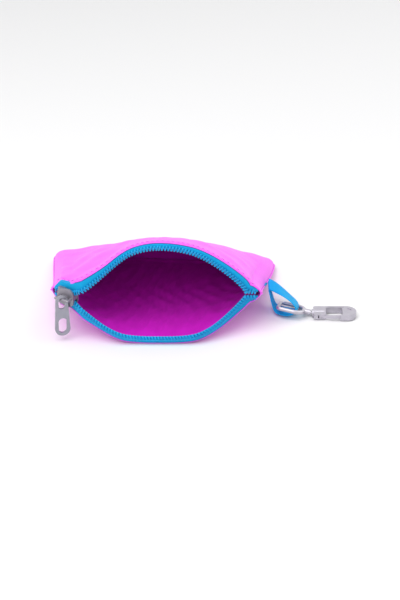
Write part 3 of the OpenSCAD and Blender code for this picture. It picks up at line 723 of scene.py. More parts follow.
def soil_group() -> bpy.types.NodeTree:
    """Slow changes of tone over cloth: handling marks and a finer mottle.

    Returns:
        A group from a place to a mask from 0 to 1.
    """
    group, tree, start, end = new_group("cloth_tone", [("Place", VECTOR, 0)], [("Tone", FLOAT)])
    broad = tree.noise(start.outputs["Place"], 28.0, 2.0)
    fine = tree.noise(start.outputs["Place"], 240.0, 3.0)
    mixed = tree.math("ADD", tree.math("MULTIPLY", broad, 0.65), tree.math("MULTIPLY", fine, 0.35))
    spread = tree.node("ShaderNodeMapRange", {"Value": mixed, "From Min": 0.34, "From Max": 0.66})
    tree.tree.links.new(spread.outputs[0], end.inputs["Tone"])
    return group


GROUPS: dict[str, bpy.types.NodeTree] = {}


def shared(name: str) -> bpy.types.NodeTree:
    """The shared group of that name, made on its first use."""
    makers: dict[str, Callable[[], bpy.types.NodeTree]] = {
        "weave": weave_group,
        "ribs": ribs_group,
        "casting": casting_group,
        "cloth_tone": soil_group,
    }
    if name not in GROUPS:
        GROUPS[name] = makers[name]()
    return GROUPS[name]


class Pattern(Enum):
    """How the threads of a cloth lie."""

    WEAVE = "weave"
    RIBS = "ribs"


@dataclass(frozen=True)
class ClothFinish:
    """A woven material: its colours, the pitch of its threads in tens of millimetres and its sheen. The shade colour
    is painted shade in the low parts between the threads, and is also mixed in by random tone and slubs.
    """

    name: str
    base: tuple[float, float, float, float]
    # Shade colour: painted shade between the threads, also mixed in by random tone and slubs.
    shade: tuple[float, float, float, float]
    pitch: float
    bump: float = 0.35
    rough: float = 0.72
    sheen: float = 0.25
    sheen_tint: tuple[float, float, float, float] = (1.0, 1.0, 1.0, 1.0)
    pattern: Pattern = Pattern.WEAVE
    # Strength of the painted shade in the low parts between the threads.
    groove_shade_strength: float = 0.45

    def material(self) -> bpy.types.Material:
        """Build the material on the cloth's own UV map.

        Returns:
            The material.
        """
        tree = MaterialTree(self.name)
        threads = tree.group(self.pattern.value, tree.node("ShaderNodeUVMap", uv_map="cloth").outputs[0])
        threads.inputs["Pitch"].default_value = self.pitch
        tone = tree.group("cloth_tone", tree.node("ShaderNodeTexCoord").outputs["Object"]).outputs[0]
        height = threads.outputs["Height"]
        if self.pattern is Pattern.WEAVE:
            # Painted shade: the low parts of the weave, between the threads, are darkened towards the shade colour;
            # the slubs added next are the threads' own tone.
            dark = tree.math("MULTIPLY", tree.math("SUBTRACT", 1.0, height), self.groove_shade_strength)
            dark = tree.math("ADD", dark, tree.math("MULTIPLY", threads.outputs["Slubs"], 0.25))
        else:
            # Painted shade: the grooves between the ribs are darkened towards the shade colour.
            dark = tree.math("MULTIPLY", threads.outputs["Grooves"], self.groove_shade_strength)
        share = tree.math("ADD", tree.math("MULTIPLY", tone, 0.4), dark, clamp=True)
        bump = tree.node("ShaderNodeBump", {"Height": height, "Strength": self.bump, "Distance": 0.00012})
        return tree.close(
            {
                "Base Color": tree.mix(share, self.base, self.shade),
                "Roughness": tree.math("ADD", tree.math("MULTIPLY", tone, 0.12), self.rough - 0.06),
                "Normal": bump.outputs[0],
                "Sheen Weight": self.sheen,
                "Sheen Roughness": 0.45,
                "Sheen Tint": self.sheen_tint,
                "Specular IOR Level": 0.25,
            }
        )


@dataclass(frozen=True)
class MetalFinish:
    """A cast or drawn metal: bright and dark tones, roughness and grain."""

    name: str
    base: tuple[float, float, float, float]
    dark: tuple[float, float, float, float]
    rough: float = 0.34
    metallic: float = 0.9
    grain: float = 0.12

    def material(self) -> bpy.types.Material:
        """Build the material on Object coordinates.

        Returns:
            The material.
        """
        tree = MaterialTree(self.name)
        cast = tree.group("casting", tree.node("ShaderNodeTexCoord").outputs["Object"])
        worn = tree.math("MULTIPLY", cast.outputs["Scratches"], 0.35)
        share = tree.math("SUBTRACT", tree.math("MULTIPLY", cast.outputs["Patches"], 0.8), worn, clamp=True)
        deep = tree.math("MULTIPLY", cast.outputs["Scratches"], 0.5)
        height = tree.math("SUBTRACT", cast.outputs["Grain"], deep)
        bump = tree.node("ShaderNodeBump", {"Height": height, "Strength": self.grain, "Distance": 0.00006})
        return tree.close(
            {
                "Base Color": tree.mix(share, self.base, self.dark),
                "Metallic": self.metallic,
                "Roughness": tree.math(
                    "ADD", tree.math("MULTIPLY", cast.outputs["Patches"], 0.2), self.rough - 0.1
                ),
                "Normal": bump.outputs[0],
            }
        )


@dataclass(frozen=True)
class NylonFinish:
    """Smooth drawn nylon, as in the coil teeth."""

    name: str
    base: tuple[float, float, float, float]
    shade: tuple[float, float, float, float]
    rough: float = 0.42

    def material(self) -> bpy.types.Material:
        """Build the material on Object coordinates.

        Returns:
            The material.
        """
        tree = MaterialTree(self.name)
        space = tree.node("ShaderNodeTexCoord").outputs["Object"]
        tone = tree.group("cloth_tone", space).outputs[0]
        fine = tree.noise(space, 1800.0, 3.0, 0.6)
        bump = tree.node("ShaderNodeBump", {"Height": fine, "Strength": 0.12, "Distance": 0.00005})
        return tree.close(
            {
                "Base Color": tree.mix(tree.math("MULTIPLY", tone, 0.7), self.base, self.shade),
                "Roughness": tree.math("ADD", tree.math("MULTIPLY", fine, 0.2), self.rough - 0.1),
                "Normal": bump.outputs[0],
                "Specular IOR Level": 0.45,
            }
        )


@dataclass
class Finishes:
    """Every finish of the pouch, built once."""

    pink: bpy.types.Material = field(init=False)
    lining: bpy.types.Material = field(init=False)
    pink_thread: bpy.types.Material = field(init=False)
    tape: bpy.types.Material = field(init=False)
    coil: bpy.types.Material = field(init=False)
    blue_thread: bpy.types.Material = field(init=False)
    ribbon: bpy.types.Material = field(init=False)
    slider: bpy.types.Material = field(init=False)
    puller: bpy.types.Material = field(init=False)
    hook: bpy.types.Material = field(init=False)
    wire: bpy.types.Material = field(init=False)

    def __post_init__(self) -> None:
        """Build the materials."""
        # The second colour of each cloth is painted shade between its threads, and also its random tone.
        self.pink = ClothFinish(
            "pink_nylon", linear(255, 118, 252), linear(240, 92, 238), 0.055, bump=0.5, groove_shade_strength=0.3,
            rough=0.66, sheen=0.22,
        ).material()
        self.lining = ClothFinish(
            "magenta_lining", linear(214, 30, 206), linear(184, 18, 174), 0.04, bump=0.3, rough=0.6,
            sheen=0.12, sheen_tint=linear(255, 120, 250), groove_shade_strength=0.25,
        ).material()
        self.pink_thread = NylonFinish("pink_thread", linear(218, 74, 212), linear(188, 48, 182), 0.6).material()
        self.tape = ClothFinish(
            "blue_tape", linear(0, 172, 226), linear(0, 126, 190), 0.06, bump=0.6, rough=0.75, sheen=0.15,
            sheen_tint=linear(120, 210, 255), pattern=Pattern.RIBS,
        ).material()
        self.coil = NylonFinish("blue_coil", linear(0, 176, 232), linear(0, 142, 206)).material()
        self.blue_thread = NylonFinish("blue_thread", linear(40, 168, 226), linear(10, 120, 186), 0.6).material()
        self.ribbon = ClothFinish(
            "blue_ribbon", linear(0, 176, 236), linear(0, 130, 204), 0.08, bump=0.5, rough=0.7, sheen=0.2,
            sheen_tint=linear(150, 220, 255), pattern=Pattern.RIBS,
        ).material()
        self.slider = MetalFinish("slider_grey", linear(165, 160, 170), linear(126, 124, 132), 0.42, 0.75).material()
        self.puller = MetalFinish("puller_grey", linear(168, 168, 178), linear(138, 138, 148), 0.42, 0.7).material()
        self.hook = MetalFinish("hook_nickel", linear(200, 196, 206), linear(168, 165, 175), 0.36, 0.8).material()
        self.wire = MetalFinish("bright_wire", linear(205, 205, 208), linear(170, 170, 174), 0.3, 0.95).material()


def dress(piece: bpy.types.Object, material: bpy.types.Material) -> bpy.types.Object:
    """Give a piece its material and log its name, face count and material."""
    piece.data.materials.clear()
    piece.data.materials.append(material)
    log.info("%s: %d faces, %s", piece.name, len(piece.data.polygons), material.name)
    return piece


def dress_node(name: str, material: bpy.types.Material) -> None:
    """Give a solid that stays in view its material in every slot."""
    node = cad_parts[name]
    for holder in node.material_slots:
        holder.material = material
    if not node.material_slots:
        node.data.materials.append(material)
    log.info("%s keeps its solid, %s", name, material.name)


def cut_size(mid: Array) -> tuple[float, float]:
    """Flat size of a cloth from its middle surface.

    The length is the mean arc along the second axis, and the width is the area divided by it.

    Args:
        mid: Grid of points in millimetres.

    Returns:
        Width and length in metres.
    """
    a, b = mid[1:, :-1] - mid[:-1, :-1], mid[:-1, 1:] - mid[:-1, :-1]
    c, d = mid[1:, 1:] - mid[:-1, 1:], mid[1:, 1:] - mid[1:, :-1]
    area = (np.linalg.norm(np.cross(a, b), axis=-1) + np.linalg.norm(np.cross(c, d), axis=-1)).sum() / 2
    length = np.linalg.norm(np.diff(mid, axis=1), axis=-1).sum(axis=1).mean()
    return area / length * MM, length * MM


def soften(piece: bpy.types.Object, angle: float = 48.0) -> bpy.types.Object:
    """Keep the smooth shading of a piece from turning round its edges sharper than the angle."""
    piece.data.set_sharp_from_angle(angle=math.radians(angle))
    return piece


# ---------------------------------------------------------------- cloth


@dataclass(frozen=True)
class Crease:
    """A soft fold in a panel, between two places on its plan, in millimetres."""

    start: tuple[float, float]
    end: tuple[float, float]
    width: float
    height: float

    def lift(self, x: Array, y: Array) -> Array:
        """Lift of the cloth: a bell across the fold, times a half sine along it."""
        ax, ay = self.start
        bx, by = self.end[0] - ax, self.end[1] - ay
        s = clip(((x - ax) * bx + (y - ay) * by) / (bx * bx + by * by))
        away = np.hypot(x - ax - bx * s, y - ay - by * s)
        return self.height * np.exp(-((away / self.width) ** 2)) * np.sin(np.pi * (0.08 + 0.84 * s))


FRONT_CREASES = (
    Crease((-47, -26), (-14, 6), 5.0, 1.3),
    Crease((-50, -12), (-24, 20), 4.0, 0.9),
    Crease((-40, -30), (-20, -16), 3.0, -0.75),
    Crease((45, -30), (14, -4), 5.0, 1.2),
    Crease((46, -14), (26, 14), 4.0, 0.75),
    Crease((-8, -28), (-2, 4), 6.0, -0.75),
    Crease((12, -30), (6, -6), 4.0, 0.5),
)
BACK_CREASES = (
    Crease((-30, -36), (-8, -8), 4.0, 0.5),
    Crease((34, -34), (14, -6), 4.0, 0.5),
    Crease((-4, -38), (2, -10), 3.0, 0.35),
)


@dataclass(frozen=True)
class ClothBody:
    """Outer panels, linings, seam welt and stitching of the pouch."""

    shape: PouchShape
    finishes: Finishes
    columns: int = 92
    rows: int = 84
    hem_w: float = 5.5
    hem_swell: float = 0.45
    pinch: float = 0.2
    corner_r: float = 6.0
    lining_off: float = 1.16
    lining_inset: float = 1.5
    lining_short: float = 1.3
    lining_slack: float = 0.45
    hem_tuck: float = 2.4
    welt_r: float = 0.55
    thread_d: float = 0.34
    stitch_pitch: float = 2.4
    stitch_l: float = 1.9
    stitch_h: float = 0.16
    stitch_in: float = 1.8

    def rounding(self, u: Array, t: Array) -> tuple[Array, Array]:
        """How far a point near a bottom corner is drawn in.

        Inside the corner's square, a point p, q is taken to the round one by
        p times the root of 1 less half of q squared, and the same for q.

        Args:
            u: Places along the width.
            t: Places from the bottom seam to the mouth.

        Returns:
            Shift in X and shift in Y.
        """
        r = self.corner_r
        p = np.clip(1 - (1 - np.abs(u)) * self.shape.width / 2 / r, 0, 1)
        q = np.clip(1 - t * self.shape.depth / r, 0, 1)
        in_x = p * (1 - np.sqrt(1 - q * q / 2)) * r
        in_y = q * (1 - np.sqrt(1 - p * p / 2)) * r
        return -np.sign(u) * in_x, -in_y

    def edge_room(self, u: Array, t: Array) -> Array:
        """Share of the panel's distance from the seam plane, round like a quarter circle at the seams."""
        side = clip((1 - np.abs(u)) * self.shape.half_mouth / 2.5)
        bottom = clip(t * self.shape.depth / 4)
        full = np.sqrt(1 - (1 - side) ** 2) * np.sqrt(1 - (1 - bottom) ** 2)
        return self.pinch + (1 - self.pinch) * full

    def middle(self, side: Side, u: Array, t: Array) -> Array:
        """Middle surface of an outer panel, with its creases and ripples.

        The plain surface is pinched at the seams. Along its normal it is then moved by the creases
        and by crossed sines of 9 to 24 mm, which fade at the seams and at the lip.

        Args:
            side: The panel.
            u: Grid of places along the width.
            t: Grid of places from the bottom seam to the mouth.

        Returns:
            A grid of points.
        """
        plain = self.shape.panel(side, u, t).copy()
        flat = self.shape.seam_z(t)
        plain[..., 2] = flat + (plain[..., 2] - flat) * self.edge_room(u, t)
        if side is Side.BACK:
            plain[..., 2] = np.maximum(plain[..., 2], self.shape.cloth_t / 2)
        else:
            beside = ease((-41 - plain[..., 0]) / 4) * ease((plain[..., 0] - self.shape.left_x) / 3)
            plain[..., 2] -= self.hem_tuck * beside * ease((t - 1) * self.shape.depth / 8 + 1)
        dx, dy = self.rounding(u, t)
        plain[..., 0] += dx
        plain[..., 1] += dy
        x, y = plain[..., 0], plain[..., 1]
        wave = (
            np.sin(2 * np.pi * (x / 21 + y / 33 + 0.22 * np.sin(y / 9)))
            + 0.6 * np.sin(2 * np.pi * (x / 12.5 - y / 24 + 0.3 * np.sin(x / 11 + 1)))
            + 0.4 * np.sin(2 * np.pi * (y / 9.5 + x / 40 + 0.2 * np.sin(x / 7)))
        )
        creases = FRONT_CREASES if side is Side.FRONT else BACK_CREASES
        lift = sum(c.lift(x, y) for c in creases) + (0.16 if side is Side.FRONT else 0.08) * wave
        fade = (
            ease((1 - np.abs(u)) * self.shape.half_mouth / 9)
            * ease(t * self.shape.depth / 9)
            * ease((1 - t) * self.shape.depth / 6)
        )
        if side is Side.BACK:
            lift = np.maximum(lift, 0) * ease((plain[..., 2] - 0.4) / 1.5)
        return plain + normals(plain) * (lift * fade)[..., None]

    def grid(
        self, half: Half, first_t: float = 0.0, last_t: float = 1.0, inset: float = 0.0
    ) -> tuple[Array, Array]:
        """Places of a panel's points, closer together at its two ends.

        Args:
            half: The part of the panel.
            first_t: First place from the bottom seam.
            last_t: Last place towards the mouth.
            inset: Distance from the side seams.

        Returns:
            Grids of u and t.
        """
        start, stop = self.shape.span(half, inset)
        columns = self.columns if half is not Half.WHOLE else 2 * self.columns
        s = np.linspace(0, 1, self.rows)
        even = 0.45 * s + 0.55 * (1 - np.cos(np.pi * s)) / 2
        return np.meshgrid(np.linspace(start, stop, columns), lerp(first_t, last_t, even), indexing="ij")

    def flat_map(self, u: Array, t: Array) -> Array:
        """Place of each point on the flat cloth, in units of 10 mm."""
        return stack(u * self.shape.half_mouth / 10, t * self.shape.depth / 10)

    def panel(self, side: Side, half: Half) -> bpy.types.Object:
        """One outer panel or half of it, with its turned hem at the lip.

        On the front panel the hem doubles the cloth outwards over its width, with a low pucker at every stitch, and
        on both panels its edge is rounded by the root of the distance from it.

        Args:
            side: The panel.
            half: The part of the panel.

        Returns:
            The piece.
        """
        u, t = self.grid(half)
        mid = self.middle(side, u, t)
        n = normals(mid)
        from_lip = (1 - t) * self.shape.depth
        hem = ease((self.hem_w - from_lip) / 1.0)
        pucker = 0.09 * np.cos(2 * np.pi * self.shape.mouth_x(u) / self.stitch_pitch)
        dip = 0.12 * np.exp(-(((from_lip - self.stitch_in) / 0.7) ** 2))
        swell = hem * (self.hem_swell + pucker * ease(from_lip / 2)) - dip * hem
        half_t = self.shape.cloth_t / 2
        turned = np.sqrt(1 - (1 - clip(from_lip / 0.7)) ** 2)
        out = side.value * (half_t + (swell if side is Side.FRONT else 0 * swell)) * (0.35 + 0.65 * turned)
        back = -side.value * half_t * (0.35 + 0.65 * turned)
        high, low = np.maximum(out, back), np.minimum(out, back)
        points, faces = shell(mid + n * low[..., None], mid + n * high[..., None])
        uv = self.flat_map(u, t).reshape(-1, 2)
        name = piece_name("outer", side, half)
        piece = soften(make_piece(name, points, faces, np.concatenate([uv] * 2)))
        cut_size(mid)
        return dress(piece, self.finishes.pink)

    def lining(self, side: Side, half: Half) -> bpy.types.Object:
        """One lining or half of it, a little slack inside its panel.

        The panel's own middle surface is moved inwards by the layers between them, and by the square
        of crossed sines, so that slack folds only ever stand away from the tape.

        Args:
            side: The panel that it lines.
            half: The part of the lining.

        Returns:
            The piece.
        """
        depth = self.shape.depth
        u, t = self.grid(half, 0.3 / depth, 1 - self.lining_short / depth, self.lining_inset)
        outer = self.middle(side, u, t)
        room = np.abs(outer[..., 2] - self.shape.seam_z(t)) - self.shape.lining_t / 2
        away = np.clip(room, self.shape.cloth_t, self.lining_off)
        n = normals(outer) * -side.value
        x, y = outer[..., 0], outer[..., 1]
        folds = (
            np.sin(np.pi * (x / 9.5 + y / 26 + 0.5 * np.sin(y / 8))) ** 2
            + 0.7 * np.sin(np.pi * (x / 6.2 - y / 15 + 0.6 * np.sin(x / 10))) ** 2
            + 0.5 * np.sin(np.pi * (y / 11 + 0.4 * np.sin(x / 6))) ** 2
        )
        fade = ease(((1 - np.abs(u)) * self.shape.half_mouth - 2) / 8) * ease((t * depth - 2) / 8)
        slack = self.lining_slack * folds * fade * ease(((1 - t) * depth - 2) / 8)
        mid = outer + n * (away + slack)[..., None]
        closed = self.shape.seam_z(t) + side.value * self.shape.lining_t / 2
        mid[..., 2] = lerp(closed, mid[..., 2], ease(t * depth / 3))
        half_t = self.shape.lining_t / 2
        up = n * -side.value
        points, faces = shell(mid - up * half_t, mid + up * half_t)
        name = piece_name("lining", side, half)
        uv = self.flat_map(u, t).reshape(-1, 2)
        piece = soften(make_piece(name, points, faces, np.concatenate([uv] * 2)))
        cut_size(mid)
        return dress(piece, self.finishes.lining)

    def edge_path(self, count: int = 420) -> tuple[Array, Array]:
        """Outer edge of the pouch from the left mouth corner round the bottom to the right one.

        Args:
            count: Number of points.

        Returns:
            The points, and the outward direction at each of them.
        """
        s = np.linspace(0, 1, count)
        depth, width = self.shape.depth, self.shape.width
        total = 2 * depth + width
        run = s * total
        t = np.clip(np.maximum(1 - run / depth, 1 - (total - run) / depth), 0, 1)
        u = np.clip((run - depth) / width * 2 - 1, -1, 1)
        path = self.shape.seam(u, t)
        dx, dy = self.rounding(np.where(np.abs(u) < 1e-9, 1e-9, u), t)
        path = path + stack(dx, dy, 0.0)
        along = unit(np.gradient(path, axis=0))
        outward = unit(np.cross(along, np.array([0.0, 0.0, -1.0])))
        return path, outward if outward[count // 2, 1] >= 0 else -outward

    def welt(self) -> bpy.types.Object:
        """Folded seam allowance round the sides and the bottom: a flat tube, fuller between stitches."""
        path, outward = self.edge_path()
        run = run_length(path)
        radius = self.welt_r * (1 + 0.1 * np.cos(2 * np.pi * run / self.stitch_pitch))
        line = path + outward * 0.35
        up = np.broadcast_to(np.array([0.0, 0.0, 1.0]), line.shape)
        points, faces = tube(line, up, radius, flat=0.8, sides=10)
        ring = np.repeat(run / 10, 10)
        around = np.tile(np.arange(10) * 0.035, len(run))
        uv = np.concatenate([np.stack([ring, around], axis=-1), [[0, 0], [0, 0]]])
        piece = soften(make_piece("seam_welt", points, faces, uv), 60)
        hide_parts("left_seam", "right_seam", "bottom_seam")
        return dress(piece, self.finishes.pink)

    def welt_stitches(self) -> bpy.types.Object:
        """Thread along the seam welt, on its upper face."""
        path, outward = self.edge_path(1600)
        run = run_length(path)
        marks = np.arange(2.0, run[-1] - 2.0, self.stitch_pitch)

        def read(at: Array, rows: Array) -> Array:
            """Rows at places along the path, read between its points."""
            return np.stack([np.interp(at, run, rows[:, k]) for k in range(3)], axis=-1)

        place = read(marks, path)
        along = unit(read(marks + 0.4, path) - place)
        up = unit(np.array([0.0, 0.0, 1.0]) - along * along[:, 2:3])
        seat = place + read(marks, outward) * 0.3 + up * self.welt_r * 0.78
        size = (self.stitch_l, self.thread_d, self.stitch_h)
        piece = thread_row("seam_stitches", size, along, up, seat)
        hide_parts("seam_stitching")
        return dress(piece, self.finishes.pink_thread)

    def lip_stitches(self, side: Side, half: Half) -> bpy.types.Object:
        """Topstitching beside a lip, outside on the front panel and inside on the back one.

        Args:
            side: The lip.
            half: The part of the row.

        Returns:
            The piece.
        """
        x = np.arange(self.shape.left_x + 3.6, self.shape.right_x - 3, self.stitch_pitch)
        u = self.shape.part((x - self.shape.left_x) / self.shape.half_mouth - 1, half)
        t = np.full_like(u, 1 - self.stitch_in / self.shape.depth)
        e = 0.004
        near = [self.shape.panel(side, u + a, t + b) for a, b in ((e, 0), (-e, 0), (0, e), (0, -e))]
        along = unit(near[0] - near[1])
        up = unit(np.cross(near[2] - near[3], along))
        place = self.shape.panel(side, u, t)
        if side is Side.FRONT:
            place = place + up * (self.shape.cloth_t / 2 + self.hem_swell - 0.1)
        else:
            place = place + up * (self.lining_off + self.shape.lining_t / 2)
        size = (self.stitch_l, self.thread_d, self.stitch_h)
        piece = thread_row(piece_name("lip_stitches", side, half), size, along, up, place)
        return dress(piece, self.finishes.pink_thread)

    def build(self) -> None:
        """Make every cloth piece, and tie the back ones, the welt and its stitches to the pouch's body."""
        tie_pieces(
            (
                (self.panel, "front_panel", "back_panel"),
                (self.lining, "front_lining", "back_lining"),
                (self.lip_stitches, "front_topstitch", "back_topstitch"),
            )
        )
        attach(self.welt(), "pouch")
        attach(self.welt_stitches(), "pouch")


def follow_mouth(piece: bpy.types.Object, half: Half, node: str) -> None:
    """Hide the solid that a half of the front side stands for, and bake the piece's place into its mesh.

    Args:
        piece: The finished piece.
        half: The side of the pouch that it is on. Not used.
        node: The solid that it stands for.
    """
    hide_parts(node)
    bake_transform(piece)


def tie_pieces(kinds: Sequence[tuple[Callable[[Side, Half], bpy.types.Object], str, str]]) -> None:
    """Make pieces of several kinds, hide the solids that they stand for, and tie the back ones to the pouch's body.

    The front ones come in two halves that stay where they are made, and the back ones are whole.

    Args:
        kinds: Maker of the pieces, and the front and the back solid that they stand for.
    """
    for half in (Half.LEFT, Half.RIGHT):
        for make, front, _ in kinds:
            follow_mouth(make(Side.FRONT, half), half, front)
    for make, _, node in kinds:
        piece = make(Side.BACK, Half.WHOLE)
        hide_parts(node)
        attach(piece, "pouch")


# ---------------------------------------------------------------- zip


@dataclass(frozen=True)
class Zip:
    """Tapes, coil rows and their threads."""

    shape: PouchShape
    finishes: Finishes
    tuck: float = 5.0
    bare: float = 0.9
    wire_r: float = 0.42
    turn_points: int = 14
    sew_line: float = 0.66
    swell: float = 0.3
    stitch_size: tuple[float, float, float] = (1.42, 0.36, 0.1)

    @property
    def tape_off(self) -> float:
        """Distance from the middle of the outer cloth to the middle of the tape."""
        return self.shape.cloth_t / 2 + self.shape.gap + self.shape.tape_t / 2

    @property
    def coil_seat(self) -> float:
        """Distance from the middle of the tape to the middle of the coil."""
        return self.shape.tape_t / 2 + 0.06 + self.shape.coil_h / 2

    def columns(self, half: Half, inset: float = 1.3, step: float = 0.7) -> Array:
        """Places along the mouth at even steps for one part of a row."""
        start, stop = self.shape.span(half, inset)
        return np.linspace(start, stop, int((stop - start) * self.shape.half_mouth / step))

    def tape(self, side: Side, half: Half) -> bpy.types.Object:
        """A woven tape: straight under the hem, over the lip, then with a slight bulge to the coil.

        Args:
            side: The lip.
            half: The part of the tape.

        Returns:
            The piece.
        """
        shape = self.shape
        u = self.columns(half)
        along, across, out = shape.band_frames(side, u)
        tuck_t = self.tuck / (shape.depth + shape.back_reach)
        rows = []
        for t in (1 - tuck_t, 1.0):
            at = np.full_like(u, t)
            e = 0.004
            du = shape.panel(side, u + e, at) - shape.panel(side, u - e, at)
            dt = shape.panel(side, u, at) - shape.panel(side, u, at - e)
            inward = unit(np.cross(dt, du)) * -side.value
            rows.append((shape.panel(side, u, at) + inward * self.tape_off, -inward))
        (tuck, tuck_n), (turn, turn_n) = rows
        edge = shape.coil_edge(side, u) + across * self.bare
        s = np.linspace(0, 1, 4)[None, :, None]
        first = lerp(tuck[:, None], turn[:, None], s)
        first_n = lerp(tuck_n[:, None], unit(turn_n + out)[:, None], s**3)
        s = np.linspace(0, 1, 10)[None, 1:, None]
        second = lerp(turn[:, None], edge[:, None], s) + out[:, None] * self.swell * np.sin(np.pi * s)
        second_n = lerp(unit(turn_n + out)[:, None], out[:, None], clip(s * 2))
        mid = np.concatenate([first, second], axis=1)
        face = unit(np.concatenate([first_n, second_n], axis=1)) * (shape.tape_t / 2)
        inner, outer = (mid - face, mid + face)
        points, faces = shell(inner, outer) if side is Side.FRONT else shell(outer, inner)
        run = run_length(shape.coil_edge(side, u))
        down = np.concatenate([[0], np.cumsum(np.linalg.norm(np.diff(mid, axis=1), axis=-1).mean(axis=0))])
        uv = stack(run[:, None] / 10, down[None, :] / 10).reshape(-1, 2)
        name = piece_name("tape", side, half)
        piece = soften(make_piece(name, points, faces, np.concatenate([uv] * 2)))
        return dress(piece, self.finishes.tape)

    def coil(self, side: Side, half: Half) -> bpy.types.Object:
        """A coil row: one nylon wire wound flat round and round.

        Its centre goes round an ellipse: a cosine across the row and a sine off the tape, one turn
        for each tooth, and a swollen head at the free edge.

        Args:
            side: The lip.
            half: The part of the row.

        Returns:
            The piece.
        """
        shape = self.shape
        u = shape.even_u(side, shape.coil_pitch / self.turn_points, half)
        along, across, out = shape.band_frames(side, u)
        phase = 2 * np.pi * np.arange(len(u)) / self.turn_points
        wide, high = shape.coil_w / 2 - self.wire_r, shape.coil_h / 2 - self.wire_r
        c, s = np.cos(phase)[:, None], np.sin(phase)[:, None]
        centre = shape.coil_edge(side, u) + across * (shape.coil_w / 2) + out * self.coil_seat
        path = centre - across * wide * c + out * high * s
        radius = self.wire_r * (0.86 + 0.14 * np.maximum(np.cos(phase), 0) ** 2)
        points, faces = tube(path, along, radius, sides=7)
        piece = make_piece(piece_name("coil", side, half), points, faces)
        return dress(piece, self.finishes.coil)

    def coil_thread(self, side: Side, half: Half) -> bpy.types.Object:
        """Sewing thread over the coil, one stitch for each tooth, past the slider.

        Args:
            side: The lip.
            half: The part of the row.

        Returns:
            The piece.
        """
        shape = self.shape
        u = shape.even_u(side, shape.coil_pitch, half)
        u = u[(shape.mouth_x(u) > shape.kink_x + 2) & (shape.mouth_x(u) < shape.right_x - 5)]
        along, across, out = shape.band_frames(side, u)
        place = shape.coil_edge(side, u) + across * (shape.coil_w * self.sew_line)
        place = place + out * (self.coil_seat + shape.coil_h / 2 + 0.02)
        piece = thread_row(piece_name("coil_thread", side, half), self.stitch_size, along, out, place)
        return dress(piece, self.finishes.blue_thread)

    def build(self) -> None:
        """Make both rows, and tie the back row's pieces to the pouch's body."""
        tie_pieces(
            (
                (self.tape, "front_tape", "back_tape"),
                (self.coil, "front_coil", "back_coil"),
                (self.coil_thread, "front_coil_stitching", "back_coil_stitching"),
            )
        )


# ---------------------------------------------------------------- strap and metal parts


